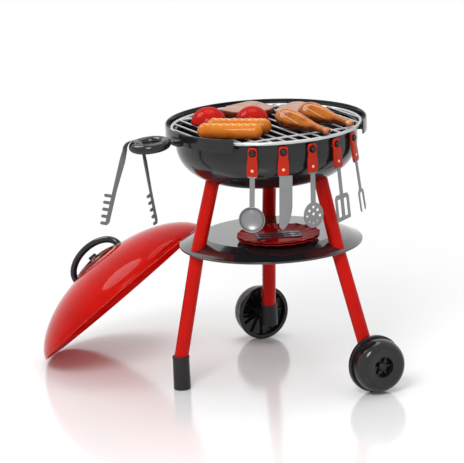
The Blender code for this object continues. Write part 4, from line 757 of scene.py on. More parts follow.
def carved(name, data, cutters):
    """A mesh cut by other meshes, each given with its place or None."""
    holder = placed(name, data)
    tools = []
    for cutter, place in cutters:
        tool = placed(name + "_tool", cutter)
        if place is not None:
            tool.matrix_world = place
        cut = holder.modifiers.new("cut", "BOOLEAN")
        cut.operation = "DIFFERENCE"
        cut.object = tool
        cut.solver = "EXACT"
        tools.append(tool)
    made = evaluated(holder)
    for tool in tools:
        bpy.data.objects.remove(tool, do_unlink=True)
    return softened(made)


def coated(name, data, coat, place):
    """An object of a mesh with one coat, its place baked into the mesh."""
    data.transform(place)
    data.materials.clear()
    data.materials.append(coat)
    return placed(name, data)


def add_piece(name, data, coat, body, nodes, place):
    """A finished piece, with its coat, its body and the model's nodes that it stands for."""
    piece = coated(name, data, coat, place)
    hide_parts(*nodes)
    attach(piece, body)
    return piece


def add_trim(name, data, coat, piece, place):
    """A small part of a piece in another coat; it goes wherever the piece goes."""
    trim = coated(name, data, coat, place)
    trim.parent = piece
    return trim


# Finishes

def add_node(tree, kind, **settings):
    node = tree.nodes.new(kind)
    for name, value in settings.items():
        setattr(node, name, value)
    return node


def wire(tree, start, end):
    tree.links.new(start, end)


def feed(tree, socket, value):
    """Give an input its number or colour, or wire it to the socket that feeds it."""
    if isinstance(value, (int, float)):
        socket.default_value = value
    elif isinstance(value, (tuple, list)):
        socket.default_value = (*value, 1.0)
    else:
        wire(tree, value, socket)


def maths(tree, operation, first, second):
    node = add_node(tree, "ShaderNodeMath", operation=operation)
    for socket, value in zip(node.inputs, (first, second)):
        feed(tree, socket, value)
    return node.outputs[0]


def times(tree, first, second):
    return maths(tree, "MULTIPLY", first, second)


def plus(tree, first, second):
    return maths(tree, "ADD", first, second)


def noise(tree, coordinates, scale, detail=3.0, roughness=0.5, stretch=None):
    if stretch:
        mapping = add_node(tree, "ShaderNodeMapping")
        mapping.inputs["Scale"].default_value = stretch
        wire(tree, coordinates, mapping.inputs["Vector"])
        coordinates = mapping.outputs["Vector"]
    node = add_node(tree, "ShaderNodeTexNoise")
    node.inputs["Detail"].default_value = detail
    node.inputs["Roughness"].default_value = roughness
    feed(tree, node.inputs["Scale"], scale)
    wire(tree, coordinates, node.inputs["Vector"])
    return node.outputs["Fac"]


def ramp(tree, value, low, high):
    """A value stretched so that low gives 0 and high gives 1."""
    node = add_node(tree, "ShaderNodeMapRange", clamp=True)
    node.inputs["From Min"].default_value = low
    node.inputs["From Max"].default_value = high
    wire(tree, value, node.inputs["Value"])
    return node.outputs["Result"]


def mixed(tree, share, first, second):
    node = add_node(tree, "ShaderNodeMix", data_type="RGBA")
    for label, value in (("Factor", share), ("A", first), ("B", second)):
        feed(tree, node.inputs[label], value)
    return node.outputs["Result"]


def new_group(name, inputs):
    """An empty surface group with its inputs (name, type, default) and the outputs all of them have."""
    group = bpy.data.node_groups.new(name, "ShaderNodeTree")
    for label, kind, value in inputs:
        socket = group.interface.new_socket(name=label, in_out="INPUT", socket_type=kind)
        socket.default_value = value
    for label, kind in SKIN_OUTPUTS:
        group.interface.new_socket(name=label, in_out="OUTPUT", socket_type=kind)
    return group, add_node(group, "NodeGroupInput"), add_node(group, "NodeGroupOutput")


def moulded_skin():
    """The surface of moulded plastic: slow flow tones, the mould's faint peel, fine rubs and lint."""
    found = bpy.data.node_groups.get("moulded_skin")
    if found:
        return found
    group, start, end = new_group(
        "moulded_skin",
        [("Colour", "NodeSocketColor", (0.5, 0.5, 0.5, 1)),
         ("Rub Colour", "NodeSocketColor", (0.8, 0.8, 0.8, 1)),
         ("Roughness", "NodeSocketFloat", 0.3),
         ("Peel Scale", "NodeSocketFloat", 500.0),
         ("Rubs", "NodeSocketFloat", 0.3)])
    spot = add_node(group, "ShaderNodeTexCoord").outputs["Object"]
    peel = noise(group, spot, start.outputs["Peel Scale"], detail=2.0)
    flow = noise(group, spot, scale=9.0, detail=2.0, stretch=(1.0, 1.0, 2.4))
    hair = noise(group, spot, scale=60.0, detail=5.0, roughness=0.7, stretch=(1.0, 7.0, 0.6))
    hair = ramp(group, hair, low=0.66, high=0.80)
    patch = ramp(group, noise(group, spot, scale=16.0, detail=2.0), low=0.5, high=0.72)
    lint = ramp(group, noise(group, spot, scale=420.0, detail=1.0), low=0.79, high=0.84)
    rub = times(group, times(group, hair, patch), start.outputs["Rubs"])
    dark = times(group, ramp(group, flow, low=0.62, high=0.3), FLOW_SHADE)
    shade = mixed(group, dark, start.outputs["Colour"], (0.0, 0.0, 0.0))
    dust = times(group, lint, start.outputs["Rubs"])
    pale = plus(group, times(group, rub, RUB_TONE), times(group, dust, LINT_TONE))
    tone = mixed(group, pale, shade, start.outputs["Rub Colour"])
    wire(group, tone, end.inputs["Colour"])
    drift = times(group, maths(group, "SUBTRACT", flow, 0.5), FLOW_ROUGHNESS)
    rough = plus(group, plus(group, start.outputs["Roughness"], drift), times(group, rub, RUB_ROUGHNESS))
    wire(group, rough, end.inputs["Roughness"])
    dent = plus(group, times(group, peel, PEEL_HEIGHT), times(group, flow, FLOW_HEIGHT))
    wire(group, maths(group, "SUBTRACT", dent, times(group, rub, RUB_DEPTH)), end.inputs["Height"])
    return group


def cooked_skin():
    """The surface of the pretend food: browning in patches, pores and long fibres, and painted shade that
    darkens its sides and underside by the way they face.
    """
    found = bpy.data.node_groups.get("cooked_skin")
    if found:
        return found
    group, start, end = new_group(
        "cooked_skin",
        [("Colour", "NodeSocketColor", (0.5, 0.5, 0.5, 1)),
         ("Browned And Shaded", "NodeSocketColor", (0.2, 0.1, 0.05, 1)),
         ("Browning", "NodeSocketFloat", 0.5),
         ("Patch Scale", "NodeSocketFloat", 40.0),
         ("Fibre", "NodeSocketFloat", 0.5),
         ("Roughness", "NodeSocketFloat", 0.35),
         ("Flank Shade", "NodeSocketFloat", 0.5)])
    coordinates = add_node(group, "ShaderNodeTexCoord")
    spot = coordinates.outputs["Object"]
    # Painted shade: the sides and underside, by the way they face, are darkened towards the browned colour.
    facing_up = add_node(group, "ShaderNodeSeparateXYZ")
    wire(group, coordinates.outputs["Normal"], facing_up.inputs[0])
    side = ramp(group, facing_up.outputs["Z"], low=0.75, high=-0.35)
    painted_flank_shade = times(group, side, start.outputs["Flank Shade"])
    patch = noise(group, spot, start.outputs["Patch Scale"], detail=4.0, roughness=0.6)
    pores = noise(group, spot, scale=900.0, detail=2.0)
    fibre = noise(group, spot, scale=90.0, roughness=0.6, stretch=(0.5, 5.0, 2.0))
    brown = times(group, ramp(group, patch, low=0.42, high=0.68), start.outputs["Browning"])
    line = ramp(group, fibre, low=0.5, high=0.75)
    lines = times(group, line, times(group, start.outputs["Fibre"], FIBRE_TONE))
    share = maths(group, "MINIMUM", plus(group, plus(group, brown, lines), painted_flank_shade), 1.0)
    tone = mixed(group, share, start.outputs["Colour"], start.outputs["Browned And Shaded"])
    wire(group, tone, end.inputs["Colour"])
    drift = times(group, maths(group, "SUBTRACT", patch, 0.5), PATCH_ROUGHNESS)
    wire(group, plus(group, start.outputs["Roughness"], drift), end.inputs["Roughness"])
    dents = plus(group, times(group, pores, PORE_HEIGHT), times(group, patch, PATCH_HEIGHT))
    grain = times(group, fibre, start.outputs["Fibre"])
    wire(group, plus(group, dents, grain), end.inputs["Height"])
    return group


def finish(name, group, values, bump, depth, **shader_values):
    """A material whose shader takes its colour, roughness and dents from a surface group."""
    made = bpy.data.materials.new(name)
    made.use_nodes = True
    tree = made.node_tree
    shader = tree.nodes["Principled BSDF"]
    skin = add_node(tree, "ShaderNodeGroup", node_tree=group)
    for label, value in values.items():
        feed(tree, skin.inputs[label], value)
    for label, value in shader_values.items():
        shader.inputs[label.replace("_", " ").title().replace("Ior", "IOR")].default_value = value
    wire(tree, skin.outputs["Colour"], shader.inputs["Base Color"])
    wire(tree, skin.outputs["Roughness"], shader.inputs["Roughness"])
    dents = add_node(tree, "ShaderNodeBump")
    dents.inputs["Strength"].default_value = bump
    dents.inputs["Distance"].default_value = depth
    wire(tree, skin.outputs["Height"], dents.inputs["Height"])
    wire(tree, dents.outputs["Normal"], shader.inputs["Normal"])
    return made


def plastic(name, base, rough, peel=500.0, rubs=0.3, rub=(0.5, 0.5, 0.5), bump=0.08, **shader_values):
    found = bpy.data.materials.get(name)
    if found:
        return found
    values = {"Colour": tuple(base), "Rub Colour": rub, "Roughness": rough, "Peel Scale": peel,
              "Rubs": rubs}
    return finish(name, moulded_skin(), values, bump, MOULDED_DENT, **shader_values)


def black_gloss():
    return plastic("black_gloss_plastic", colours().black, rough=0.12, rub=(0.10, 0.10, 0.10),
                   specular_ior_level=0.38)


def shelf_gloss():
    return plastic("shelf_gloss_plastic", colours().black, rough=0.12, rub=(0.12, 0.12, 0.12), bump=0.03,
                   coat_weight=0.52, coat_roughness=0.03, coat_ior=1.6)


def satin_black():
    return plastic("satin_black_plastic", colours().satin_black, rough=0.42, peel=1100.0,
                   rub=(0.12, 0.12, 0.12), bump=0.18, specular_ior_level=0.3)


def lid_red():
    return plastic("lid_red_plastic", colours().red, rough=0.10, peel=300.0, rubs=0.15,
                   rub=(0.75, 0.30, 0.26), bump=0.03, specular_ior_level=0.07, subsurface_weight=0.5,
                   subsurface_scale=0.03)


def satin_red():
    return plastic("leg_red_plastic", colours().satin_red, rough=0.26, peel=700.0, rub=(0.75, 0.20, 0.16),
                   specular_ior_level=0.12)


def handle_red():
    return plastic("handle_red_plastic", colours().handle_red, rough=0.20, peel=900.0,
                   rub=(0.75, 0.30, 0.16), specular_ior_level=0.2)


def vent_red():
    return plastic("vent_red_plastic", colours().vent_red, rough=0.16, rub=(0.5, 0.2, 0.16),
                   specular_ior_level=0.6)


def plate_red():
    return plastic("plate_red_plastic", colours().plate_red, rough=0.14, rub=(0.6, 0.2, 0.16),
                   specular_ior_level=0.0, coat_weight=0.22, coat_roughness=0.02)


def grate_plastic():
    return plastic("grate_grey_plastic", colours().grate_grey, rough=0.24, peel=900.0,
                   rub=(0.75, 0.75, 0.75), metallic=0.3)


def silver_plastic():
    return plastic("silver_grey_plastic", colours().silver, rough=0.34, peel=1400.0, rub=(0.6, 0.6, 0.6),
                   bump=0.12, metallic=0.35)


def tongs_plastic():
    return plastic("tongs_grey_plastic", colours().tongs_grey, rough=0.38, peel=1400.0,
                   rub=(0.4, 0.4, 0.4), bump=0.12, metallic=0.3)


def dark_cutlery():
    return plastic("dark_cutlery_plastic", colours().cutlery, rough=0.09, rub=(0.5, 0.5, 0.5),
                   specular_ior_level=0.8)


def ladle_metal():
    return plastic("ladle_grey_plastic", colours().ladle_grey, rough=0.36, peel=1400.0,
                   rub=(0.6, 0.6, 0.6), bump=0.05, metallic=0.75)


# Pale orange for the handles' raised dots: a painted highlight.
def dot_painted_highlight():
    return plastic("dot_painted_highlight_plastic", (0.95, 0.50, 0.26), rough=0.3, rubs=0.0)


def pin_steel():
    return plastic("pin_steel", colours().steel, rough=0.28, peel=1200.0, rub=(0.8, 0.8, 0.8), metallic=1.0)


# The share for the flanks darkens the sides and underside of the food towards its second colour: painted
# shade.
def food_finish(name, base, browned_and_shaded, browning, patches, fibre, rough, flank_shade, bump=0.25, **shader_values):
    found = bpy.data.materials.get(name)
    if found:
        return found
    values = {"Colour": tuple(base), "Browned And Shaded": browned_and_shaded, "Browning": browning, "Patch Scale": patches,
              "Fibre": fibre, "Roughness": rough, "Flank Shade": flank_shade}
    return finish(name, cooked_skin(), values, bump, COOKED_DENT, **shader_values)


def sausage_skin():
    return food_finish("sausage_skin", colours().sausage, (0.34, 0.075, 0.006), browning=0.4, patches=26.0,
                       fibre=0.2, rough=0.16, flank_shade=0.7, specular_ior_level=0.08, coat_weight=0.16,
                       coat_roughness=0.05)


def relish_line():
    return food_finish("relish_line", colours().relish, (0.52, 0.20, 0.04), browning=0.4, patches=60.0,
                       fibre=0.1, rough=0.25, flank_shade=0.8)


def tomato_skin():
    return food_finish("tomato_skin", colours().tomato, (0.30, 0.004, 0.002), browning=0.3, patches=22.0,
                       fibre=0.05, rough=0.10, flank_shade=0.7, bump=0.05, specular_ior_level=0.0,
                       coat_weight=0.18, coat_roughness=0.04)


def steak_meat():
    return food_finish("steak_meat", colours().meat, (0.13, 0.014, 0.007), browning=0.3, patches=60.0,
                       fibre=1.0, rough=0.34, flank_shade=1.5, bump=0.6, specular_ior_level=0.15)


def roast_skin():
    return food_finish("roast_skin", colours().chicken, (0.09, 0.013, 0.002), browning=0.55, patches=34.0,
                       fibre=0.3, rough=0.12, flank_shade=0.9, bump=0.4, specular_ior_level=0.05,
                       coat_weight=0.4, coat_roughness=0.06)


# Paler colour for the folds of skin: a painted highlight along the ridges.
def fold_painted_highlight():
    return food_finish("fold_painted_highlight", (0.62, 0.25, 0.07), (0.30, 0.08, 0.02), browning=0.5, patches=60.0,
                       fibre=0.2, rough=0.2, flank_shade=0.6)


def knuckle_skin():
    return food_finish("knuckle_skin", (0.60, 0.22, 0.06), (0.20, 0.04, 0.008), browning=0.6, patches=70.0,
                       fibre=0.2, rough=0.2, flank_shade=0.8)


def seen_rays(tree):
    """1 for camera, glossy and transmission rays, and 0 for the rest."""
    rays = add_node(tree, "ShaderNodeLightPath")
    seen = plus(tree, rays.outputs["Is Camera Ray"], rays.outputs["Is Glossy Ray"])
    return maths(tree, "MINIMUM", plus(tree, seen, rays.outputs["Is Transmission Ray"]), 1.0)


def floor_finish():
    """A plain pale board with soft reflections near the set, which fades to white further off."""
    made = bpy.data.materials.new("floor_finish")
    made.use_nodes = True
    tree = made.node_tree
    shader = tree.nodes["Principled BSDF"]
    shader.inputs["Base Color"].default_value = (*colours().floor, 1.0)
    shader.inputs["Roughness"].default_value = FLOOR_ROUGHNESS
    shader.inputs["Specular IOR Level"].default_value = FLOOR_SPECULAR
    spot = add_node(tree, "ShaderNodeTexCoord").outputs["Object"]
    distance = add_node(tree, "ShaderNodeVectorMath", operation="LENGTH")
    wire(tree, spot, distance.inputs[0])
    far = ramp(tree, distance.outputs["Value"], FLOOR_NEAR, FLOOR_FAR)
    white = add_node(tree, "ShaderNodeEmission")
    white.inputs["Strength"].default_value = WORLD_SEEN
    blend = add_node(tree, "ShaderNodeMixShader")
    wire(tree, times(tree, far, seen_rays(tree)), blend.inputs[0])
    wire(tree, shader.outputs["BSDF"], blend.inputs[1])
    wire(tree, white.outputs["Emission"], blend.inputs[2])
    wire(tree, blend.outputs["Shader"], tree.nodes["Material Output"].inputs["Surface"])
    return made


def sizes():
    return bpy.context.scene.grill_sizes


def colours():
    return bpy.context.scene.grill_colours


# Bowl and grate

def body_radius():
    return sizes().bowl_rim_radius - BOWL_OVERHANG


def bowl_ledge():
    return GRATE_HEIGHT - GRATE_RING_BAR - GAP


def bowl_side(grow=0.0):
    top = BOWL_FLOOR_HEIGHT + BOWL_CURVE_HEIGHT
    swing = body_radius() - BOWL_FLOOR_RADIUS + grow
    return ellipse(BOWL_FLOOR_RADIUS, top, swing, BOWL_CURVE_HEIGHT + grow, 0, -90, BOWL_STEPS)


def bowl_form():
    """The bowl's outer form, as a solid that trims what seats against it."""
    top = BOWL_RIM_HEIGHT + GAP
    low = BOWL_RIM_HEIGHT - BOWL_BAND_DEPTH - GAP
    rim = sizes().bowl_rim_radius + GAP
    band = [(0.0, top), (rim, top), (rim, low), (body_radius() + GAP, low)]
    return lathe("bowl_form", band + bowl_side(GAP) + [(0.0, BOWL_FLOOR_HEIGHT - GAP)])


def peg_angle(index):
    return PEG_MIDDLE_ANGLE + (index - (PEG_COUNT - 1) / 2) * PEG_PITCH_ANGLE


def handle_middle():
    return body_radius() + HANDLE_STANDOFF + HANDLE_THICKNESS / 2


def make_bowl():
    rim = sizes().bowl_rim_radius
    ledge, top = bowl_ledge(), BOWL_RIM_HEIGHT
    band, under = top - BOWL_BAND_DEPTH, bowl_ledge() - BOWL_WALL
    inner_rim, inner_body = rim - BOWL_WALL, body_radius() - BOWL_WALL
    lip = BOWL_WALL * BOWL_LIP_SHARE
    inside = [(0.0, BOWL_FLOOR_HEIGHT + BOWL_WALL)] + bowl_side(-BOWL_WALL)[::-1]
    edge = fillet([(inner_body, ledge - BOWL_WALL), (inner_body, ledge, lip), (inner_rim, ledge, lip),
                   (inner_rim, top, lip), (rim, top, lip), (rim, band, lip), (inner_rim, band, lip / 2),
                   (inner_rim, under, lip / 2), (body_radius(), under, lip / 2),
                   (body_radius(), under - BOWL_WALL)])
    shell = lathe("bowl", inside + edge + bowl_side() + [(0.0, BOWL_FLOOR_HEIGHT)])
    reach = (rim + OVERRUN) / cos(radians(NOTCH_HALF_ANGLE))
    left, right = -90 - NOTCH_HALF_ANGLE, -90 + NOTCH_HALF_ANGLE
    wedge = ellipse(0.0, 0.0, reach, reach, left, right, 30)
    wedge += ellipse(0.0, 0.0, body_radius(), body_radius(), right, left, 60)
    notch = prism("notch", wedge, band - OVERRUN, top + OVERRUN)
    parts = [(carved("bowl_shell", shell, [(notch, None)]), None)]
    root, tip = body_radius() - BOWL_WALL / 2, handle_middle() + HANDLE_THICKNESS / 2 + OVERRUN
    for index in range(PEG_COUNT):
        angle = peg_angle(index)
        place, length = along(polar(root, angle, PEG_HEIGHT), polar(tip, angle, PEG_HEIGHT))
        dish = PEG_RADIUS * PEG_DISH_SHARE
        profile = fillet([(0.0, length - MM), (dish, length - MM, MM / 2), (dish + MM / 2, length, MM / 2),
                          (PEG_RADIUS, length, 1.5 * MM), (PEG_RADIUS, 0.0, 0.0), (0.0, 0.0)])
        parts.append((lathe("peg", profile, SMALL_STEPS), place))
    add_piece("kettle_bowl", gathered("kettle_bowl", parts), black_gloss(), "grill", ("bowl",),
              grill_place())


def make_grate():
    ring_radius, parts = sizes().grate_ring_radius, []
    top = GRATE_HEIGHT + GRATE_RING_BAR
    ring = sweep("ring", ring_path(ring_radius, GRATE_HEIGHT), GRATE_RING_BAR, 20, cyclic=True)
    parts.append((ring, None))
    count = int((ring_radius - GRATE_RING_BAR) / GRATE_BAR_PITCH)
    for index in range(-count, count + 1):
        offset = index * GRATE_BAR_PITCH
        half = sqrt(ring_radius ** 2 - offset ** 2)
        level = top - GRATE_BAR
        parts.append((sweep("bar", [(offset, -half, level), (offset, half, level)], GRATE_BAR, 16), None))
    half, level = sqrt(ring_radius ** 2 - GRATE_CHORD_OFFSET ** 2), top - GRATE_CHORD_BAR
    for side in (-1, 1):
        run = [(-half, side * GRATE_CHORD_OFFSET, level), (half, side * GRATE_CHORD_OFFSET, level)]
        parts.append((sweep("chord", run, GRATE_CHORD_BAR, 16), None))
    add_piece("round_grate", gathered("round_grate", parts), grate_plastic(), "grate_body",
              ("grate",), grill_place())


# Ring handle

def ring_place():
    centre = -(sizes().bowl_rim_radius + RING_REACH)
    tilt = turned(-RING_TILT, "Y")
    return Matrix.Translation((centre, 0.0, RING_HEIGHT)) @ tilt


def make_side_handle():
    radius, bar, rim = sizes().loop_radius, sizes().loop_bar, sizes().bowl_rim_radius
    loop = sweep("loop", ring_path(radius), bar, 32, cyclic=True)
    start = ring_place() @ Vector((radius, 0.0, 0.0))
    level = BOWL_RIM_HEIGHT - BOWL_BAND_DEPTH + RING_PAD_RISE
    pad = Vector((-rim - RING_PAD_THICKNESS, 0.0, level))
    root = Vector((-rim + BOWL_WALL, 0.0, level))
    up, side = Vector((0.0, 0.0, 1.0)), Vector((0.0, 1.0, 0.0))
    rings = []
    for step in range(RING_ARM_STEPS + 1):
        share = step / RING_ARM_STEPS
        ease = share ** RING_ARM_FLARE
        width = RING_ARM_WIDTH + (RING_PAD_WIDTH - RING_ARM_WIDTH) * ease
        tall = RING_ARM_THICKNESS + (RING_PAD_HEIGHT - RING_ARM_THICKNESS) * ease
        rings.append(section_ring(start.lerp(pad, share), side * width / 2, up * tall / 2, 40,
                                  RING_ARM_SQUARE))
    rings.append(section_ring(root, side * RING_PAD_WIDTH / 2, up * RING_PAD_HEIGHT / 2, 40,
                              RING_ARM_SQUARE))
    arm = carved("arm", loft("arm", rings), [(bowl_form(), None)])
    parts = [(loop, ring_place()), (arm, None)]
    add_piece("ring_handle", gathered("ring_handle", parts), black_gloss(), "grill",
              ("side_handle",), grill_place())


# Legs, caps and wheels

def leg_points(name):
    if name == "foot":
        angles = FOOT_ANGLES
        low = FOOT_END
    else:
        side = -1 if name == "front" else 1
        angles = [side * angle for angle in WHEEL_LEG_ANGLES]
        low = WHEEL_LEG_END
    ends = (LEG_TOP, LEG_JOINT, low)
    return [polar(spread, angle, height) for (spread, height), angle in zip(ends, angles)]


def leg_tube(name, part, radius, overrun=0.0):
    top, joint, end = leg_points(name)
    start, far = (joint, top) if part == "upper" else (end, joint)
    place, length = along(start, far)
    inner = radius - LEG_WALL
    profile = fillet([(inner, -overrun), (radius, -overrun, MM / 2), (radius, length + overrun, MM / 2),
                      (inner, length + overrun)])
    return lathe("tube", profile + [(inner, -overrun)], SMALL_STEPS), place


def cap_centre(name):
    _, joint, end = leg_points(name)
    rise = (joint - end).normalized()
    middle = end + rise * (LEG_END_DEPTH / 2 / rise.z)
    return Vector((middle.x, middle.y, 0.0))


def make_legs():
    radius = sizes().leg_radius
    for name in LEGS:
        tube, place = leg_tube(name, "upper", radius, LEG_OVERRUN)
        upper = carved("upper", gathered("upper", [(tube, place)]), [(bowl_form(), None)])
        add_piece("upper_leg_" + name, upper, satin_red(), "grill", ("leg_upper_" + name,),
                  grill_place())
        tube, place = leg_tube(name, "lower", radius)
        add_piece("lower_leg_" + name, tube, satin_red(), "grill", ("leg_lower_" + name,),
                  grill_place() @ place)
    centre = cap_centre("foot")
    low = FOOT_END[1] + LEG_END_DEPTH
    add_piece("foot_end", end_cap("foot", 0.0, low), satin_black(), "grill", ("foot_cap",),
              grill_place(centre.x, centre.y))
    for name in ("front", "back"):
        centre = cap_centre(name)
        high = WHEEL_LEG_END[1] + LEG_END_DEPTH
        cap = end_cap(name, high - CAP_HEIGHT, high)
        reach = CAP_RADIUS + WHEEL_SPACER - GAP
        profile = fillet([(0.0, reach), (SHOULDER_RADIUS, reach, MM / 2), (SHOULDER_RADIUS, 0.0), (0.0, 0.0)])
        shoulder = lathe("shoulder", profile, SMALL_STEPS)
        out = Vector((0.0, wheel_side(name), 0.0))
        axle = facing(Vector((0.0, 0.0, sizes().wheel_radius)), out)
        add_piece("leg_end_" + name, gathered("leg_end", [(cap, None), (shoulder, axle)]), satin_black(),
                  "grill", ("leg_cap_" + name,), grill_place(centre.x, centre.y))


def end_cap(name, low, high):
    """A moulded leg end: a lip at the top, a faint taper and a rounded sole, bored for its leg."""
    neck = CAP_RADIUS - CAP_LIP_STEP
    profile = fillet([(0.0, high), (CAP_RADIUS, high, MM), (CAP_RADIUS, high - CAP_LIP_DEPTH, MM / 2),
                      (neck, high - CAP_LIP_END, MM / 2), (CAP_RADIUS, low, CAP_SOLE_ROUND), (0.0, low)])
    _, joint, end = leg_points(name)
    place, length = along(end - cap_centre(name), joint - cap_centre(name))
    radius = sizes().leg_radius + GAP
    bore = lathe("bore", [(0.0, length), (radius, length), (radius, -GAP), (0.0, -GAP)], SMALL_STEPS)
    return carved("cap", lathe("cap", profile, SMALL_STEPS), [(bore, place)])


def wheel_side(name):
    return -1 if name == "front" else 1


def wheel_place(name):
    cap = cap_centre(name)
    reach = CAP_RADIUS + WHEEL_SPACER + WHEEL_WIDTH / 2
    centre = Vector((cap.x, cap.y + wheel_side(name) * reach, sizes().wheel_radius))
    return grill_place() @ facing(centre, Vector((0.0, wheel_side(name), 0.0)))


def wheel_mesh():
    """A hollow moulded wheel: domed tread, flange, six-spoked recess and ribbed back."""
    radius, half = sizes().wheel_radius, WHEEL_WIDTH / 2
    tread, web = radius - WHEEL_FLANGE_STEP, radius - WHEEL_RIM_WALL
    recess, bore, hub = RECESS_RADIUS, WHEEL_BORE, WHEEL_HUB_RADIUS
    floor, back, shoulder = half - RECESS_DEPTH, -half + WHEEL_BACK_DEPTH, -half + WHEEL_FLANGE_WIDTH
    groove = tread - WHEEL_FLANGE_GROOVE
    crown = (tread + recess) / 2
    dome = ellipse(crown, 0.0, tread - crown, half, 98, 0, 22)
    section = [(bore, floor), (recess - 1.5 * MM, floor)] + fillet(
        [(recess - MM, floor), (recess, floor + 2 * MM, MM), (recess, half * RECESS_LIP_SHARE, MM),
         dome[0]])[1:-1]
    section += dome + fillet(
        [(tread, 0.0), (tread, shoulder + MM, MM), (groove, shoulder + WHEEL_FLANGE_GROOVE, MM / 2),
         (groove, shoulder, MM / 3), (radius, shoulder, WHEEL_FLANGE_ROUND),
         (radius, -half, WHEEL_FLANGE_ROUND), (web, -half, MM), (web, back, 2 * MM), (hub, back, 2 * MM),
         (hub, -half, MM), (bore, -half)])[1:]
    parts = [(lathe("wheel_shell", section, MIDDLE_STEPS, closed=True), None)]
    for index in range(SPOKE_COUNT):
        spoke = box_mesh("spoke", (bore + MM, -SPOKE_HALF_WIDTH, floor - MM),
                         (recess + MM, SPOKE_HALF_WIDTH, half - SPOKE_DEPTH))
        parts.append((spoke, spaced(index, SPOKE_COUNT)))
    high = half - RECESS_HUB_DEPTH
    ring = [(bore, floor), (RECESS_HUB_RADIUS, floor), (RECESS_HUB_RADIUS, high), (bore, high)]
    parts.append((lathe("hub", ring, SMALL_STEPS, closed=True), None))
    for index in range(WHEEL_RIB_COUNT):
        rib = box_mesh("rib", (hub - MM, -MM, -half * WHEEL_RIB_SHARE), (web + MM, MM, back + MM))
        parts.append((rib, spaced(index, WHEEL_RIB_COUNT)))
    return gathered("wheel", parts)


def make_wheels():
    for name in ("front", "back"):
        add_piece("wheel_moulding_" + name, wheel_mesh(), black_gloss(),
                  "wheel_%s_body" % name, ("wheel_" + name,), wheel_place(name))
        low = WHEEL_WIDTH / 2 - HUB_BUTTON_DEPTH
        dome = ellipse(0.0, low + HUB_BUTTON_RIM, HUB_BUTTON_RADIUS, HUB_BUTTON_DOME, 90, 0, 10)
        cap = [(0.0, low + HUB_BUTTON_HEIGHT)] + dome[1:] + [(HUB_BUTTON_RADIUS, low), (0.0, low)]
        add_piece("hub_button_" + name, lathe("hub_button", cap, SMALL_STEPS), satin_black(),
                  "grill", ("hub_cap_" + name,), wheel_place(name))
        pin = bpy.data.objects["axle_" + name]
        for socket in pin.material_slots:
            socket.material = pin_steel()


# Shelf

def make_shelf():
    top, flat, rim = SHELF_TOP_HEIGHT, sizes().shelf_top_radius, sizes().shelf_rim_radius
    rim_top = top - SHELF_DROP
    low = rim_top - SHELF_LIP
    middle, level = (flat + rim) / 2, (top + rim_top) / 2 + SHELF_SWELL
    wall = SHELF_WALL
    outside = fillet([(0.0, top), (flat, top, 3 * MM), (middle, level, SHELF_DISH_ROUND),
                      (rim - 3 * MM, rim_top, 2 * MM), (rim, rim_top - MM, MM), (rim, low, MM),
                      (rim - wall, low, MM)], steps=6)
    inside = [(rim - wall, rim_top - wall), (middle, level - wall), (flat, top - wall), (0.0, top - wall)]
    shelf = lathe("shelf", outside + inside, WIDE_STEPS)
    holes = []
    radius = sizes().leg_radius + GAP
    for name in LEGS:
        upper, joint, _ = leg_points(name)
        place, length = along(joint, upper)
        hole = [(0.0, length), (radius, length), (radius, -SHELF_HOLE_DEPTH), (0.0, -SHELF_HOLE_DEPTH)]
        holes.append((lathe("hole", hole, SMALL_STEPS), place))
    add_piece("dish_shelf", carved("dish_shelf", shelf, holes), shelf_gloss(), "grill",
              ("shelf",), grill_place())


# Lid and vent

def lid_axes():
    """The lid's own directions: up its slope, across it, and out through the top of the dome."""
    lean = radians(LID_LEAN_ANGLE)
    tilt = asin((SHELF_TOP_HEIGHT - SHELF_DROP) / (2 * sizes().lid_radius))
    slope = Vector((cos(lean) * cos(tilt), sin(lean) * cos(tilt), sin(tilt)))
    across = Vector((-sin(lean), cos(lean), 0.0))
    return slope, across, slope.cross(across)


def lid_place():
    """The lid lies on the floor at its low edge and leans on the shelf's rim."""
    slope, across, axis = lid_axes()
    turn = Matrix((slope, across, axis)).transposed().to_4x4()
    radius = sizes().lid_radius
    reach = sizes().shelf_rim_radius + radius * sqrt(1 - slope.z ** 2) - LID_SETBACK
    centre = polar(-reach, LID_LEAN_ANGLE) + across * LID_ACROSS
    centre.z = radius * slope.z
    return grill_place() @ Matrix.Translation(centre) @ turn


def dome_point(angle, shrink=0.0):
    """A point of the dome's section, from the lip at 0 degrees to the top at 90."""
    radius = sizes().lid_radius - LID_BEAD - shrink
    rise = sizes().lid_height - LID_LIP - shrink
    across = cos(radians(angle)) ** LID_RADIUS_POWER
    up = sin(radians(angle)) ** LID_HEIGHT_POWER
    return radius * across, LID_LIP + rise * up


def crown_angle(radius):
    """The angle at which the dome's section reaches a radius."""
    reach = radius / (sizes().lid_radius - LID_BEAD)
    return degrees(acos(reach ** (1 / LID_RADIUS_POWER)))


def dome_top():
    return dome_point(crown_angle(LID_TOP_RADIUS))[1]


def dome_curve(shrink):
    """The dome's section from the flat that carries the vent down to the lip."""
    start = crown_angle(LID_TOP_RADIUS + LID_WALL)
    return [dome_point(start * (1 - step / LID_STEPS), shrink) for step in range(LID_STEPS + 1)]


def lid_holes():
    spread = Matrix.Translation((DAMPER_HOLE_SPREAD, 0.0, 0.0))
    return [spaced(index, DAMPER_HOLE_COUNT) @ spread for index in range(DAMPER_HOLE_COUNT)]


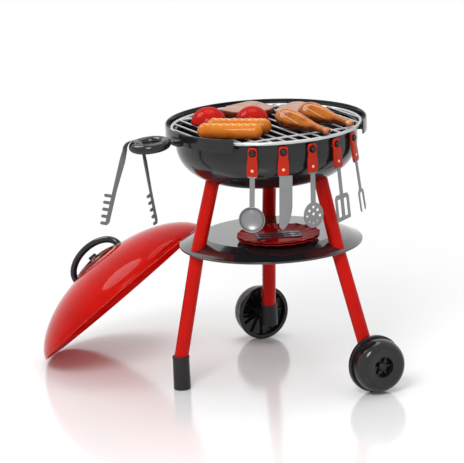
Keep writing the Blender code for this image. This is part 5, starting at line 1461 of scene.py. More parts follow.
def make_lid():
    """The lid with its vent holes; its lip is set in a touch, to stay inside the model's box."""
    radius, top = sizes().lid_radius - LID_INSET, dome_top()
    body = radius - LID_BEAD
    outside = [(0.0, top), (LID_TOP_RADIUS - 2 * MM, top)] + dome_curve(0.0)
    rim = fillet([(body, LID_LIP), (body, LID_BEAD_HEIGHT, MM / 2), (radius, LID_BEAD_HEIGHT, MM),
                  (radius, 0.0, MM), (body - LID_WALL, 0.0, MM / 2), (body - LID_WALL, LID_LIP)])
    inside = dome_curve(LID_WALL)[::-1] + [(0.0, top - LID_WALL)]
    shell = lathe("lid", outside + rim[1:-1] + inside, WIDE_STEPS)
    low, high = top - LID_WALL - OVERRUN, top + OVERRUN
    hole = [(0.0, low), (DAMPER_HOLE_RADIUS, low), (DAMPER_HOLE_RADIUS, high), (0.0, high)]
    cutters = [(lathe("hole", hole, SMALL_STEPS), place) for place in lid_holes()]
    add_piece("dome_lid", carved("dome_lid", shell, cutters), lid_red(), "lid_body", ("lid",),
              lid_place())
    make_lid_handle()


def make_lid_handle():
    """A half-round bar that stands over the vent, its flared feet trimmed to the dome."""
    base, foot = dome_top(), dome_point(crown_angle(HANDLE_SPAN))[1] - LID_WALL
    points = [(HANDLE_SPAN, 0.0, foot), (HANDLE_SPAN, 0.0, (foot + base) / 2)]
    radii = [HANDLE_FOOT_BAR, HANDLE_ANKLE_BAR]
    for x, z in ellipse(0.0, base, HANDLE_SPAN, HANDLE_RISE, 0, 180, 56):
        points.append((x, 0.0, z))
        radii.append(HANDLE_BAR)
    points += [(-HANDLE_SPAN, 0.0, (foot + base) / 2), (-HANDLE_SPAN, 0.0, foot)]
    radii += [HANDLE_ANKLE_BAR, HANDLE_FOOT_BAR]
    bar = sweep("handle_bar", points, radii, 28, side=(0.0, 1.0, 0.0))
    level = dome_top() + GAP
    seat = [(0.0, level), (LID_TOP_RADIUS, level)]
    seat += [(radius + GAP, height + GAP) for radius, height in dome_curve(0.0)] + [(0.0, LID_LIP)]
    bar = carved("lid_grip", bar, [(lathe("dome_seat", seat, MIDDLE_STEPS), None)])
    add_piece("lid_grip", bar, black_gloss(), "lid_body", ("lid_handle",), lid_place())


def vent_levels():
    """Heights in the vent: its seat on the dome, the damper's top and the hub's top."""
    seat = dome_top() + GAP
    return seat, seat + DAMPER_THICKNESS, seat + VENT_HUB_HEIGHT


def make_vent():
    seat, damper_top, crown = vent_levels()
    inner, rim_top = VENT_RADIUS - VENT_RIM_WIDTH, seat + VENT_RIM_HEIGHT
    ring = fillet([(inner, rim_top, MM), (VENT_RADIUS, rim_top, 2 * MM), (VENT_RADIUS, seat, MM / 2),
                   (inner, seat, MM / 2)], True)
    low, bore = damper_top + GAP, VENT_HUB_RADIUS - VENT_HUB_WALL
    hub = fillet([(bore, crown, MM / 2), (VENT_HUB_RADIUS, crown, 1.4 * MM), (VENT_HUB_RADIUS, low),
                  (bore, low)], True)
    parts = [(lathe("rim", ring, closed=True), None), (lathe("hub", hub, SMALL_STEPS, closed=True), None)]
    near, far = VENT_HUB_RADIUS - 1.5 * MM, inner + VENT_RIM_WIDTH / 2
    for index in range(VENT_RIB_COUNT):
        path = []
        for step in range(VENT_RIB_STEPS + 1):
            share = step / VENT_RIB_STEPS
            fall = (rim_top - 2 * MM - crown + VENT_RIB_SINK) * share ** VENT_RIB_POWER
            path.append((near + (far - near) * share, 0.0, crown - VENT_RIB_SINK + fall))
        rib = sweep("rib", path, VENT_RIB_BAR, 14, squash=VENT_RIB_SQUASH, side=(0.0, 1.0, 0.0))
        parts.append((rib, spaced(index, VENT_RIB_COUNT)))
    add_piece("vent_cage", gathered("vent_cage", parts), vent_red(), "lid_body",
              ("vent_grille",), lid_place())
    reach, pin = inner - GAP, DAMPER_PIN_RADIUS
    disc = fillet([(0.0, damper_top), (reach, damper_top, MM / 2), (reach, seat, MM / 2), (pin, seat),
                   (pin, seat - LID_WALL), (0.0, seat - LID_WALL)])
    drill = [(0.0, seat - OVERRUN), (DAMPER_HOLE_RADIUS, seat - OVERRUN),
             (DAMPER_HOLE_RADIUS, damper_top + OVERRUN), (0.0, damper_top + OVERRUN)]
    cutters = [(lathe("drill", drill, SMALL_STEPS), place) for place in lid_holes()]
    drilled = carved("vent_disc", lathe("disc", disc, MIDDLE_STEPS), cutters)
    add_piece("vent_disc", drilled, satin_black(), "vent_body", ("vent_damper",), lid_place())
    high, girth = crown + KNOB_RISE, KNOB_RADIUS
    knob = fillet([(0.0, high - KNOB_DISH), (girth * KNOB_DISH_SHARE, high - KNOB_DISH, MM),
                   (girth * KNOB_LIP_SHARE, high, 1.2 * MM), (girth, high, 1.6 * MM),
                   (girth, low, MM / 2), (0.0, low)])
    add_piece("vent_turner", lathe("vent_turner", knob, SMALL_STEPS), satin_black(),
              "vent_body", ("vent_knob",), lid_place())


# Utensils

def utensil_place(index):
    """A hanging utensil's place: x along the rim, y up, z outwards, at its peg."""
    angle = peg_angle(index)
    stand = grill_place() @ Matrix.Translation(polar(handle_middle(), angle, PEG_HEIGHT))
    face = turned(angle + 90) @ turned(90, "X")
    sway = turned(UTENSIL_SWAYS[index])
    return stand @ face @ sway @ turned(-UTENSIL_LEANS[index], "X")


def handle_drop(lean):
    """How far a hanging handle's hole lies below its peg's middle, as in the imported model."""
    flat = HANDLE_HOLE_RADIUS * cos(pi / HANDLE_HOLE_SIDES)
    return flat - PEG_RADIUS - GAP - HANDLE_THICKNESS / 2 * tan(radians(lean))


def blade_top():
    return HANDLE_TOP - HANDLE_LENGTH - GAP


def utensil_handle(index):
    """A red handle with its hanging hole, waist and moulded dot."""
    name = UTENSILS[index]
    top, low = HANDLE_TOP, HANDLE_TOP - HANDLE_LENGTH
    half, waist, neck = sizes().handle_width / 2, HANDLE_WAIST / 2, -HANDLE_NECK
    outline = fillet([(-waist, top, 6 * MM), (-waist, neck, 8 * MM), (-half, neck * 2, 8 * MM),
                      (-half, low, 1.5 * MM), (half, low, 1.5 * MM), (half, neck * 2, 8 * MM),
                      (waist, neck, 8 * MM), (waist, top, 6 * MM)], True, 6)
    hole = circle(HANDLE_HOLE_RADIUS, 36, y=-handle_drop(UTENSIL_LEANS[index]))
    parts = [(sheet_form("handle", [outline, hole], HANDLE_THICKNESS, HANDLE_EDGE), None)]
    face = HANDLE_THICKNESS / 2
    if name == "skimmer":
        for side in (-1, 0, 1):
            run = [(side * GRIP_RIB_PITCH, end, face - GRIP_RIB_SINK) for end in GRIP_RIB_ENDS]
            parts.append((sweep("rib", run, GRIP_RIB_BAR, 12), None))
    place = utensil_place(index)
    grip = add_piece(name + "_grip", gathered(name + "_grip", parts), handle_red(),
                     name + "_body", (name + "_handle",), place)
    # The raised dot, coated pale orange as a painted highlight.
    dot = ellipse(0.0, face - DOT_SINK, DOT_RADIUS, DOT_SWELL, 90, 0, 6)
    dot = [(0.0, dot[0][1])] + dot[1:] + [(DOT_RADIUS, face - MM), (0.0, face - MM)]
    add_trim(name + "_dot", lathe("dot", dot, 32), dot_painted_highlight(), grip,
             place @ Matrix.Translation((0.0, low + DOT_HEIGHT, 0.0)))


def ladle_blade():
    half, lift = STICK_WIDTH / 2, BLADE_THICKNESS / 2
    low = -LADLE_DEPTH + LADLE_RADIUS - LADLE_WALL
    stick = fillet([(-half, blade_top()), (half, blade_top()), (half, low), (-half, low)], True)
    outer = ellipse(0.0, lift, LADLE_RADIUS, LADLE_CUP_DEPTH, 0, -90, 20)
    inner = ellipse(0.0, lift, LADLE_RADIUS - LADLE_WALL, LADLE_CUP_DEPTH - LADLE_WALL, -90, 0, 20)
    inner[0], outer[-1] = (0.0, inner[0][1]), (0.0, outer[-1][1])
    lip = ellipse(LADLE_RADIUS - LADLE_WALL / 2, lift, LADLE_WALL / 2, LADLE_LIP, 180, 0, 6)
    cup = lathe("cup", inner[:-1] + lip + outer[1:], 72)
    return gathered("ladle", [(sheet_form("stick", [stick], BLADE_THICKNESS, STICK_EDGE), None),
                              (cup, Matrix.Translation((0.0, -LADLE_DEPTH, 0.0)))])


def knife_blade():
    top, length = blade_top(), KNIFE_LENGTH
    edge = ellipse(-KNIFE_SPINE, -length * KNIFE_STRAIGHT_SHARE, KNIFE_SPINE + KNIFE_BELLY,
                   length * KNIFE_CURVE_SHARE, 0, -75, 24)
    outline = [(-KNIFE_SPINE, top), (KNIFE_BELLY, top)] + edge + [(-KNIFE_SPINE, -length * KNIFE_TIP_SHARE)]
    return bladed("knife", [outline], KNIFE_EDGE)


def skimmer_blade():
    half = STICK_WIDTH / 2
    start = degrees(acos(STICK_WIDTH / SKIMMER_WIDTH))
    stop = start - 360 + 2 * (90 - start)
    head = ellipse(0.0, -SKIMMER_DEPTH, SKIMMER_WIDTH / 2, SKIMMER_HEIGHT / 2, start, stop, 60)
    outline = [(-half, blade_top()), (half, blade_top())] + head
    holes = []
    for across, up in SKIMMER_HOLES:
        x, y = across * SKIMMER_WIDTH / 2, up * SKIMMER_HEIGHT / 2 - SKIMMER_DEPTH
        holes.append(circle(SKIMMER_HOLE_RADIUS, 24, x, y))
    return bladed("skimmer", [outline] + holes, BLADE_EDGE)


def spatula_blade():
    stick, half = STICK_WIDTH * SLIM_STICK_SHARE, SPATULA_WIDTH / 2
    top, low, slant, frame_width = -SPATULA_TOP, -SPATULA_LENGTH, SPATULA_SLANT, SPATULA_FRAME
    shoulder, drop = half * SPATULA_SHOULDER_SHARE, top - SPATULA_SHOULDER
    outline = fillet([(-stick, blade_top()), (stick, blade_top()), (stick, top, 2 * MM),
                      (shoulder, top, 4 * MM), (half, drop, 4 * MM), (half, low + slant, MM),
                      (-half, low, MM), (-half, drop, 4 * MM), (-shoulder, top, 4 * MM),
                      (-stick, top, 2 * MM)], True)
    slots = []
    for side in (-1, 1):
        near, far = side * SPATULA_BRIDGE, side * (half - frame_width)
        high, bottom = top - frame_width * SPATULA_TOP_FRAME, low + slant + frame_width
        slots.append(fillet([(near, high, 2 * MM), (far, high, 2 * MM), (far, bottom, 2 * MM),
                             (near, bottom, 2 * MM)], True))
    return bladed("spatula", [outline] + slots, BLADE_EDGE)


def fork_blade():
    stick, half, tine = STICK_WIDTH * SLIM_STICK_SHARE, FORK_WIDTH / 2, FORK_TINE
    top, low, yoke, inner = -FORK_YOKE, -FORK_LENGTH, FORK_CROTCH, FORK_WIDTH / 2 - tine
    slot = ellipse(0.0, top - yoke, inner, yoke / 2, 0, 180, 20)
    tip = inner + tine / 4
    right = fillet([(-stick, blade_top()), (stick, blade_top()), (stick, top, 2 * MM),
                    (half, top - yoke / 2, 4 * MM), (half, low + tine, 2 * MM), (tip, low)])
    left = fillet([(-tip, low), (-half, low + tine, 2 * MM), (-half, top - yoke / 2, 4 * MM),
                   (-stick, top, 2 * MM), (-stick, blade_top())])
    return bladed("fork", [right + slot + left[:-1]], FORK_EDGE)


def bladed(name, outlines, edge):
    return sheet_form(name, outlines, BLADE_THICKNESS, edge)


def make_utensils():
    blades = (ladle_blade, knife_blade, skimmer_blade, spatula_blade, fork_blade)
    half, top = sizes().handle_width * COLLAR_SHARE, blade_top()
    collar = fillet([(-half, top, MM / 2), (half, top, MM / 2), (half - MM, top - COLLAR_HEIGHT, MM),
                     (MM - half, top - COLLAR_HEIGHT, MM)], True)
    for index, blade in enumerate(blades):
        utensil_handle(index)
        name = UTENSILS[index]
        band = sheet_form("collar", [collar], HANDLE_THICKNESS - MM, COLLAR_EDGE)
        coat = ladle_metal() if name == "ladle" else silver_plastic()
        add_piece(name + "_head", gathered(name, [(blade(), None), (band, None)]), coat,
                  name + "_body", (name + "_blade",), utensil_place(index))


# Tongs

def tongs_place():
    """On the far side of the ring handle: x away from the ring, y across, z up from its bar."""
    foot = ring_place() @ polar(sizes().loop_radius, TONGS_ANGLE)
    return grill_place() @ Matrix.Translation(foot) @ turned(TONGS_ANGLE)


def tongs_drop():
    return TONGS_BEND - sizes().loop_bar - GAP - TONGS_THICKNESS / 2 - TONGS_SLACK


def across_strip(twist):
    return Vector((sin(radians(twist)), cos(radians(twist)), 0.0))


def arm_ends(side, reach):
    return Vector((side * TONGS_BEND, 0.0, -tongs_drop())), Vector((side * reach, 0.0, -TONGS_LENGTH))


def arm_frame(side, reach, twist):
    """A frame at the top of an arm: x across the strip, y down the arm, z through it."""
    start, end = arm_ends(side, reach)
    down = (end - start).normalized()
    through = across_strip(twist).cross(down).normalized()
    turn = Matrix((down.cross(through), down, through)).transposed()
    return Matrix.Translation(start) @ turn.to_4x4()


def arm_section(side, reach, share, twist):
    turn = arm_frame(side, reach, twist).to_3x3()
    start, end = arm_ends(side, reach)
    return start.lerp(end, share), turn @ Vector((1.0, 0.0, 0.0)), turn @ Vector((0.0, 0.0, 1.0))


def tongs_strip():
    """The bent strip from one arm over the bar to the other, turning as it goes."""
    sections = []
    for step in range(TONGS_EASE_STEPS + 1):
        share = TONGS_EASE * (1 - step / TONGS_EASE_STEPS) * TONGS_OVERLAP
        ease = min(1.0, share / TONGS_EASE)
        twist = BEND_TWIST + (OUTER_TWIST - BEND_TWIST) * ease
        sections.append(arm_section(1, TONGS_OUTER_REACH, share, twist))
    for step in range(1, TONGS_BEND_STEPS):
        angle = pi * step / TONGS_BEND_STEPS
        twist = BEND_TWIST + (INNER_TWIST - BEND_TWIST) * step / TONGS_BEND_STEPS
        spot = Vector((TONGS_BEND * cos(angle), 0.0, TONGS_BEND * sin(angle) - tongs_drop()))
        run = Vector((-sin(angle), 0.0, cos(angle)))
        deep = across_strip(twist).cross(run).normalized()
        sections.append((spot, run.cross(deep), -deep))
    for share in (0.0, TONGS_EASE):
        spot, across, deep = arm_section(-1, TONGS_INNER_REACH, share, INNER_TWIST)
        sections.append((spot, across, -deep))
    rings = [section_ring(spot, across * TONGS_WIDTH / 2, deep * TONGS_THICKNESS / 2, 32, TONGS_SQUARE)
             for spot, across, deep in sections]
    return loft("tongs_strip", rings)


def comb_outline(length):
    """An arm's flat part: a tapering strip that ends in a comb of round-ended teeth."""
    half, thick = TONGS_WIDTH / 2, TONGS_TOOTH_HEIGHT
    start = length * TONGS_EASE
    first = length - (COMB_TEETH - 1) * TONGS_TOOTH_PITCH - thick
    points = [(half, start), (half, first - COMB_WAIST, 3 * MM)]
    for index in range(COMB_TEETH):
        high = first + index * TONGS_TOOTH_PITCH
        tip = half + TONGS_TOOTH - index * COMB_TAPER
        points += [(half, high, MM), (tip, high, 3 * MM), (tip, high + thick, 3 * MM)]
        if index < COMB_TEETH - 1:
            points.append((half, high + thick, MM))
    points += [(half - TONGS_SPINE / 2, length, 2 * MM), (half - TONGS_SPINE, length - thick, 2 * MM)]
    points += [(half - TONGS_SPINE, first - COMB_WAIST, 6 * MM), (-half, start)]
    return fillet(points, True)


def make_tongs():
    parts = [(tongs_strip(), None)]
    for side, reach, twist in ((1, TONGS_OUTER_REACH, OUTER_TWIST), (-1, TONGS_INNER_REACH, INNER_TWIST)):
        start, end = arm_ends(side, reach)
        comb = sheet_form("comb", [comb_outline((end - start).length)], COMB_THICKNESS, COMB_EDGE)
        parts.append((comb, arm_frame(side, reach, twist)))
    add_piece("comb_tongs", gathered("comb_tongs", parts), tongs_plastic(), "tongs_body",
              ("tongs",), tongs_place())


# Plates and cutlery

def plate_place(level):
    pitch = PLATE_WALL + PLATE_FOOT + GAP
    rise = SHELF_TOP_HEIGHT + GAP + PLATE_FOOT + level * pitch
    return grill_place(PLATE_X + level * PLATE_SHIFT, PLATE_Y + level * PLATE_SHIFT, rise)


def plate_mesh():
    base, rim, count = PLATE_BASE_RADIUS, sizes().plate_radius, sizes().flute_count

    def flute(turn, radius):
        share = min(1.0, max(0.0, (radius - base) / (rim - base)))
        return cos(count * turn) * PLATE_FLUTE_DEPTH / 2 * share

    top = []
    for step in range(PLATE_STEPS + 1):
        share = step / PLATE_STEPS
        rise = PLATE_RISE * (PLATE_STRAIGHT * share + PLATE_CURVE * share ** 2)
        top.append((base + (rim - base) * share, PLATE_WALL + rise))
    edge = [(rim, PLATE_WALL / 2 + PLATE_RISE), (rim - PLATE_EDGE, PLATE_RISE)]
    under = [(radius, height - PLATE_WALL) for radius, height in top[::-1][1:]]
    profile = [(0.0, PLATE_WALL), (base - 4 * MM, PLATE_WALL)] + top + edge + under + [(0.0, 0.0)]
    outer, inner = PLATE_FOOT_RADIUS, PLATE_FOOT_RADIUS - PLATE_WALL
    foot = [(inner, PLATE_WALL / 2), (outer, PLATE_WALL / 2), (outer, -PLATE_FOOT), (inner, -PLATE_FOOT)]
    return gathered("plate", [(lathe("plate", profile, count * FLUTE_STEPS, flute=flute, angle=60), None),
                              (lathe("foot", foot, MIDDLE_STEPS, closed=True), None)])


def make_plates():
    for level, name in enumerate(("lower", "upper")):
        add_piece("fluted_plate_" + name, plate_mesh(), plate_red(), "plate_%s_body" % name,
                  ("plate_" + name,), plate_place(level))


def cutlery_outline(shares, corner):
    half, head = CUTLERY_LENGTH / 2, CUTLERY_HEAD / 2
    return fillet([(along_it * half, across_it * head, corner) for along_it, across_it in shares], True)


def spoon_outline():
    reach, head = CUTLERY_LENGTH / 2, CUTLERY_HEAD / 2
    neck = reach * SPOON_NECK
    bowl = ellipse((neck + reach) / 2, 0.0, (reach - neck) / 2, head, -150, 150, 32)
    stem = [(-reach, -SPOON_STEM_END * head, 2 * MM), (neck, -SPOON_STEM_NECK * head, MM)]
    back = [(neck, SPOON_STEM_NECK * head, MM), (-reach, SPOON_STEM_END * head, 2 * MM)]
    return fillet(stem + bowl + back, True)


def make_cutlery():
    outlines = (("table_knife", cutlery_outline(TABLE_KNIFE, 2 * MM)),
                ("table_fork", cutlery_outline(TABLE_FORK, MM)), ("table_spoon", spoon_outline()))
    for row, (name, outline) in enumerate(outlines):
        turn = turned(CUTLERY_TURN)
        lift = PLATE_WALL + GAP + CUTLERY_THICKNESS / 2
        place = plate_place(1) @ turn @ Matrix.Translation((0.0, (1 - row) * CUTLERY_PITCH, lift))
        rib = sweep("rib", [(CUTLERY_LENGTH * share, 0.0, CUTLERY_RIB_RISE) for share in CUTLERY_RIB_ENDS],
                    CUTLERY_RIB_BAR, 16)
        parts = [(sheet_form(name, [outline], CUTLERY_THICKNESS, CUTLERY_EDGE), None), (rib, None)]
        add_piece(name + "_toy", gathered(name, parts), dark_cutlery(), name + "_body",
                  (name,), place)


# Food

def smoothed(points):
    """More points along a smooth curve through the given ones."""
    chain = [Vector(point) for point in points]
    made = []
    for index in range(len(chain) - 1):
        here, after = chain[index], chain[index + 1]
        before = chain[max(index - 1, 0)]
        beyond = chain[min(index + 2, len(chain) - 1)]
        for step in range(SMOOTH_STEPS):
            t = step / SMOOTH_STEPS
            pull = (after - before) * t + (before * 2 - here * 5 + after * 4 - beyond) * t ** 2
            pull += (here * 3 - before - after * 3 + beyond) * t ** 3
            made.append(here + pull / 2)
    return made + [chain[-1]]


def sausage_mesh():
    radius, half = SAUSAGE_RADIUS, sizes().sausage_length / 2
    path, radii = [], []
    tip = half - radius
    spots = [-tip - radius * sin(radians(angle)) for angle in range(86, 0, -6)]
    spots += [-tip + 2 * tip * step / 40 for step in range(41)]
    spots += [tip + radius * sin(radians(angle)) for angle in range(2, 87, 6)]
    for x in spots:
        beyond = max(0.0, abs(x) - tip)
        path.append((x, SAUSAGE_BOW * (x / half) ** 2, 0.0))
        radii.append(sqrt(max(radius ** 2 - beyond ** 2, 0.0)))
    return sweep("sausage", path, radii, 40, side=(0.0, 1.0, 0.0))


def make_sausages():
    half = sizes().sausage_length / 2
    for name, (x, y) in (("front", SAUSAGE_FRONT), ("back", SAUSAGE_BACK)):
        place = grill_place(x, y, FOOD_LEVEL + SAUSAGE_RADIUS) @ turned(SAUSAGE_TURN)
        piece = add_piece("sausage_link_" + name, sausage_mesh(), sausage_skin(),
                          "sausage_%s_body" % name, ("sausage_" + name,), place)
        path = []
        reach = SAUSAGE_RADIUS - RELISH_SINK
        for step in range(RELISH_STEPS + 1):
            x = half * RELISH_REACH * (step / (RELISH_STEPS / 2) - 1)
            swing = radians(RELISH_LEAN + RELISH_SWING * sin(2 * pi * RELISH_WAVES * step / RELISH_STEPS))
            path.append((x, SAUSAGE_BOW * (x / half) ** 2 + reach * sin(swing), reach * cos(swing)))
        add_trim("relish_" + name, sweep("relish", path, RELISH_BAR, 14), relish_line(), piece, place)


def make_tomatoes():
    for name, (x, y), growth in (("left", TOMATO_LEFT, TOMATO_LEFT_GROWTH), ("right", TOMATO_RIGHT, 1.0)):
        radius, height = sizes().tomato_radius * growth, TOMATO_HEIGHT * growth
        dome = ellipse(0.0, 0.0, radius, height, 90, 8, 30)
        dome[0] = (0.0, height)
        foot = fillet([dome[-1], (radius, TOMATO_EDGE, MM), (radius * TOMATO_FOOT_SHARE, 0.0, MM),
                       (0.0, 0.0)])
        half = lathe("tomato", dome[:-1] + foot[1:], MIDDLE_STEPS)
        add_piece("tomato_half_" + name, half, tomato_skin(), "tomato_%s_body" % name,
                  ("tomato_" + name,), grill_place(x, y, FOOD_LEVEL))


def make_steaks():
    steaks = (("left", STEAK_LEFT, STEAK_LEFT_SHARES), ("right", STEAK_RIGHT, STEAK_RIGHT_SHARES))
    for name, (x, y), shares in steaks:
        corners = [(across * STEAK_LENGTH / 2, up * STEAK_WIDTH / 2, STEAK_CORNER) for across, up in shares]
        slab = sheet_form("steak", [fillet(corners, True, 8)], STEAK_THICKNESS, STEAK_EDGE)
        add_piece("steak_slab_" + name, slab, steak_meat(), "steak_%s_body" % name,
                  ("steak_" + name,), grill_place(x, y, FOOD_LEVEL + STEAK_THICKNESS / 2))


def drumstick_place(x, y, turn, size, bed):
    middle, (knuckle, knuckle_radius) = DRUMSTICK_MIDDLE, DRUMSTICK_SHARES[-2]
    slope = atan2(DRUMSTICK_RADIUS * (1 - knuckle_radius), size * (knuckle - middle))
    depths = [radius * DRUMSTICK_RADIUS * cos(slope) + (reach - middle) * size * sin(slope)
              for reach, radius in DRUMSTICK_SHARES]
    spot = grill_place(x, y, FOOD_LEVEL + max(depths) - bed)
    return (spot @ turned(turn) @ Matrix.Rotation(slope, 4, "Y")
            @ Matrix.Translation((-size * middle, 0.0, 0.0)))


def meat_girth(share, around):
    """How full the leg is at a share of its length and an angle: a crest with a hollow beside it."""
    swell = max(0.0, sin(pi * min(1.0, share / MEAT_TAPER)))
    hollow = 0.0
    if around > radians(HOLLOW_START):
        hollow = HOLLOW_DEPTH * max(0.0, cos(HOLLOW_SPREAD * (around - radians(HOLLOW_ANGLE)))) ** 2
    crest = CREST_HEIGHT * max(0.0, cos(around - radians(CREST_ANGLE))) ** 8
    return MEAT_FULLNESS - (hollow + SWELL_LOSS - CREST_SHARE * crest) * swell


def carve_meat(body, size):
    """A crest along the leg, a hollow beside it and a slanting cut across the plump end."""
    for vertex in body.vertices:
        girth = meat_girth(vertex.co.x / size, atan2(vertex.co.z, vertex.co.y))
        vertex.co.y *= girth
        vertex.co.z *= girth
        cut = size * (CUT_DEPTH + CUT_RISE * vertex.co.z / DRUMSTICK_RADIUS
                      + CUT_SLANT * vertex.co.y / DRUMSTICK_RADIUS)
        if vertex.co.x < cut:
            vertex.co.x = cut - (cut - vertex.co.x) * CUT_BULGE
    body.update()


def meat_fold(meat, size, start, end, first, last):
    """A fold of skin that lies on the leg between two shares of its length, turning as it goes."""
    path, radii = [], []
    for step in range(FOLD_STEPS + 1):
        way = step / FOLD_STEPS
        share, around = start + (end - start) * way, radians(first + (last - first) * way)
        here = [radius for radius, height in meat if -height <= share * size][-1]
        after = [radius for radius, height in meat if -height > share * size][0]
        reach = (here + after) / 2 * meat_girth(share, around) - FOLD_SINK
        path.append((share * size, reach * cos(around), reach * sin(around)))
        radii.append((0.4 + 1.3 * sin(pi * way)) * MM)
    return sweep("fold", path, radii, 12)


def make_drumsticks():
    lay = turned(-90, "Y")
    for name, (x, y), turn, share, bed in DRUMSTICKS:
        size = sizes().drumstick_length * share
        chain = [(0.0, 0.0)]
        chain += [(radius * DRUMSTICK_RADIUS, -reach * size) for reach, radius in DRUMSTICK_SHARES[:-2]]
        meat = [(max(point[0], 0.0), point[1]) for point in smoothed(chain)]
        end = -size * BONE_SHARE
        meat += [(BONE_NECK, end + BONE_RADIUS), (BONE_RADIUS, end), (0.0, end)]
        place = drumstick_place(x, y, turn, size, bed)
        body = gathered("drumstick", [(lathe("drumstick", meat, 64), lay)])
        carve_meat(body, size)
        piece = add_piece("chicken_leg_" + name, body, roast_skin(),
                          "drumstick_%s_body" % name, ("drumstick_" + name,), place)
        # The folds are raised skin in a paler colour: a painted highlight along them.
        folds = [(meat_fold(meat, size, *fold), None) for fold in MEAT_FOLDS]
        add_trim("fold_" + name, gathered("fold", folds), fold_painted_highlight(), piece, place)
        lobes = []
        for side in (-1, 1):
            ball = ellipse(0.0, 0.0, KNUCKLE_LENGTH, KNUCKLE_WIDTH, 90, -90, 16)
            ball[0], ball[-1] = (0.0, ball[0][1]), (0.0, ball[-1][1])
            spot = Matrix.Translation((size * KNUCKLE_SHARE, side * KNUCKLE_SPREAD, 0.0))
            lobes.append((lathe("lobe", ball, 32), spot))
        add_trim("knuckle_" + name, gathered("knuckle", lobes), knuckle_skin(), piece, place)


# Stage

def make_camera():
    """The photograph's view: a long lens, a little above the rim, rolled slightly."""
    turn, rise, roll = radians(CAMERA_AZIMUTH), radians(CAMERA_ELEVATION), radians(CAMERA_ROLL)
    back = Vector((sin(turn) * cos(rise), -cos(turn) * cos(rise), sin(rise)))
    right = Vector((cos(turn), sin(turn), 0.0))
    up = back.cross(right)
    across = cos(roll) * right + sin(roll) * up
    over = cos(roll) * up - sin(roll) * right
    data = bpy.data.cameras.new("photo_view")
    data.sensor_width = SENSOR_WIDTH
    data.lens = FOCAL_PIXELS * SENSOR_WIDTH / PHOTO_WIDTH
    data.shift_x = -CAMERA_SHIFT_PIXELS / PHOTO_WIDTH
    data.clip_end = CLIP_END
    camera = placed("photo_view", data)
    target = Vector((AXIS_X, AXIS_Y, CAMERA_TARGET_HEIGHT))
    basis = Matrix((across, over, back)).transposed().to_4x4()
    camera.matrix_world = Matrix.Translation(target + CAMERA_DISTANCE * back) @ basis
    bpy.context.scene.camera = camera
    return camera


def make_floor():
    half = FLOOR_SPAN / 2
    data = bpy.data.meshes.new("floor")
    corners = [(-half, -half, 0.0), (half, -half, 0.0), (half, half, 0.0), (-half, half, 0.0)]
    data.from_pydata(corners, [], [(0, 1, 2, 3)])
    data.materials.append(floor_finish())
    return placed("floor", data)


def add_lamp(stand, name, offset, power, size, lights_surfaces):
    """A round soft lamp that aims at the set; one that lights no surface shows only in gloss."""
    data = bpy.data.lights.new(name, "AREA")
    data.energy = power
    data.shape = "DISK"
    data.size = size
    lamp = placed(name, data)
    spot = stand + Vector(offset)
    lamp.matrix_world = facing(spot, spot - stand)
    lamp.visible_diffuse = lights_surfaces
    return lamp


def make_world():
    """White behind the set and in its reflections, a softer level for the light itself."""
    world = bpy.data.worlds.new("studio")
    bpy.context.scene.world = world
    world.use_nodes = True
    tree = world.node_tree
    tree.nodes.clear()
    strength = times(tree, seen_rays(tree), WORLD_SEEN - WORLD_LIGHT)
    strength = plus(tree, strength, WORLD_LIGHT)
    shader = add_node(tree, "ShaderNodeBackground")
    wire(tree, strength, shader.inputs["Strength"])
    shader.inputs["Color"].default_value = (1.0, 1.0, 1.0, 1.0)
    wire(tree, shader.outputs["Background"], add_node(tree, "ShaderNodeOutputWorld").inputs["Surface"])


def make_stage():
    scene = bpy.context.scene
    scene.view_settings.view_transform = "Standard"
    make_camera()
    make_world()
    stand = Vector((AXIS_X, AXIS_Y, CAMERA_TARGET_HEIGHT))
    key, fill, gloss = [add_lamp(stand, *lamp) for lamp in LAMPS]
    make_floor()


# Operators

class GRILL_OT_bowl(Operator):
    """Build the black bowl with its notch and five pegs"""
    bl_idname = "grill.bowl"
    bl_label = "Kettle bowl"

    def execute(self, context):
        make_bowl()
        return {"FINISHED"}


class GRILL_OT_grate(Operator):
    """Build the round grey grate"""
    bl_idname = "grill.grate"
    bl_label = "Grate"

    def execute(self, context):
        make_grate()
        return {"FINISHED"}


class GRILL_OT_side_handle(Operator):
    """Build the ring handle and its bracket"""
    bl_idname = "grill.side_handle"
    bl_label = "Ring handle"

    def execute(self, context):
        make_side_handle()
        return {"FINISHED"}


class GRILL_OT_legs(Operator):
    """Build the three red legs, their ends and caps"""
    bl_idname = "grill.legs"
    bl_label = "Legs"

    def execute(self, context):
        make_legs()
        return {"FINISHED"}


class GRILL_OT_wheels(Operator):
    """Build the two wheels with their hub buttons and axle pins"""
    bl_idname = "grill.wheels"
    bl_label = "Wheels"

    def execute(self, context):
        make_wheels()
        return {"FINISHED"}


class GRILL_OT_shelf(Operator):
    """Build the black dish shelf between the legs"""
    bl_idname = "grill.shelf"
    bl_label = "Shelf"

    def execute(self, context):
        make_shelf()
        return {"FINISHED"}


class GRILL_OT_lid(Operator):
    """Build the red lid and its handle"""
    bl_idname = "grill.lid"
    bl_label = "Lid"

    def execute(self, context):
        make_lid()
        return {"FINISHED"}


class GRILL_OT_vent(Operator):
    """Build the lid's vent: its cage, its damper and its knob"""
    bl_idname = "grill.vent"
    bl_label = "Vent"

    def execute(self, context):
        make_vent()
        return {"FINISHED"}


class GRILL_OT_utensils(Operator):
    """Build the five hanging utensils"""
    bl_idname = "grill.utensils"
    bl_label = "Utensils"

    def execute(self, context):
        make_utensils()
        return {"FINISHED"}


class GRILL_OT_tongs(Operator):
    """Build the comb-toothed tongs on the ring handle"""
    bl_idname = "grill.tongs"
    bl_label = "Tongs"

    def execute(self, context):
        make_tongs()
        return {"FINISHED"}


class GRILL_OT_plates(Operator):
    """Build the two fluted plates"""
    bl_idname = "grill.plates"
    bl_label = "Plates"

    def execute(self, context):
        make_plates()
        return {"FINISHED"}


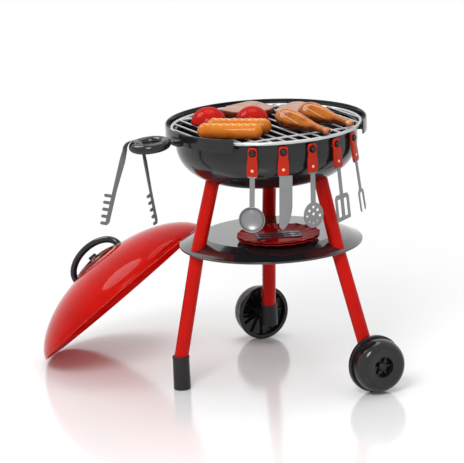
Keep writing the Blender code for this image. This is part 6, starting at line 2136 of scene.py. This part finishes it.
class GRILL_OT_cutlery(Operator):
    """Build the table knife, fork and spoon on the upper plate"""
    bl_idname = "grill.cutlery"
    bl_label = "Cutlery"

    def execute(self, context):
        make_cutlery()
        return {"FINISHED"}


class GRILL_OT_sausages(Operator):
    """Build the two sausages with their relish"""
    bl_idname = "grill.sausages"
    bl_label = "Sausages"

    def execute(self, context):
        make_sausages()
        return {"FINISHED"}


class GRILL_OT_tomatoes(Operator):
    """Build the two tomato halves"""
    bl_idname = "grill.tomatoes"
    bl_label = "Tomatoes"

    def execute(self, context):
        make_tomatoes()
        return {"FINISHED"}


class GRILL_OT_steaks(Operator):
    """Build the two steaks"""
    bl_idname = "grill.steaks"
    bl_label = "Steaks"

    def execute(self, context):
        make_steaks()
        return {"FINISHED"}


class GRILL_OT_drumsticks(Operator):
    """Build the two drumsticks"""
    bl_idname = "grill.drumsticks"
    bl_label = "Drumsticks"

    def execute(self, context):
        make_drumsticks()
        return {"FINISHED"}


class GRILL_OT_stage(Operator):
    """Set up the floor, the light, the world and the camera"""
    bl_idname = "grill.stage"
    bl_label = "Studio stage"

    def execute(self, context):
        make_stage()
        return {"FINISHED"}


OPERATORS = (
    GRILL_OT_bowl,
    GRILL_OT_grate,
    GRILL_OT_side_handle,
    GRILL_OT_legs,
    GRILL_OT_wheels,
    GRILL_OT_shelf,
    GRILL_OT_lid,
    GRILL_OT_vent,
    GRILL_OT_utensils,
    GRILL_OT_tongs,
    GRILL_OT_plates,
    GRILL_OT_cutlery,
    GRILL_OT_sausages,
    GRILL_OT_tomatoes,
    GRILL_OT_steaks,
    GRILL_OT_drumsticks,
    GRILL_OT_stage,
)


class GRILL_PT_sidebar(Panel):
    """The sidebar panel with the grill's sizes, colours and pieces."""
    bl_idname = "GRILL_PT_sidebar"
    bl_label = "Toy barbecue grill"
    bl_space_type = "VIEW_3D"
    bl_region_type = "UI"
    bl_category = "Grill"

    def draw(self, context):
        layout = self.layout
        for group in (context.scene.grill_sizes, context.scene.grill_colours):
            column = layout.column(align=True)
            for name in group.__annotations__:
                column.prop(group, name)
        column = layout.column(align=True)
        for kind in OPERATORS:
            column.operator(kind.bl_idname)


CLASSES = (GrillSizes, GrillColours) + OPERATORS + (GRILL_PT_sidebar,)


def register():
    for kind in CLASSES:
        bpy.utils.register_class(kind)
    bpy.types.Scene.grill_sizes = PointerProperty(type=GrillSizes)
    bpy.types.Scene.grill_colours = PointerProperty(type=GrillColours)


def unregister():
    del bpy.types.Scene.grill_colours
    del bpy.types.Scene.grill_sizes
    for kind in reversed(CLASSES):
        bpy.utils.unregister_class(kind)


def main():
    register()
    bpy.ops.grill.stage()
    for kind in OPERATORS[:-1]:
        getattr(bpy.ops.grill, kind.bl_idname.split(".")[1])()


if __name__ == "__main__":
    main()
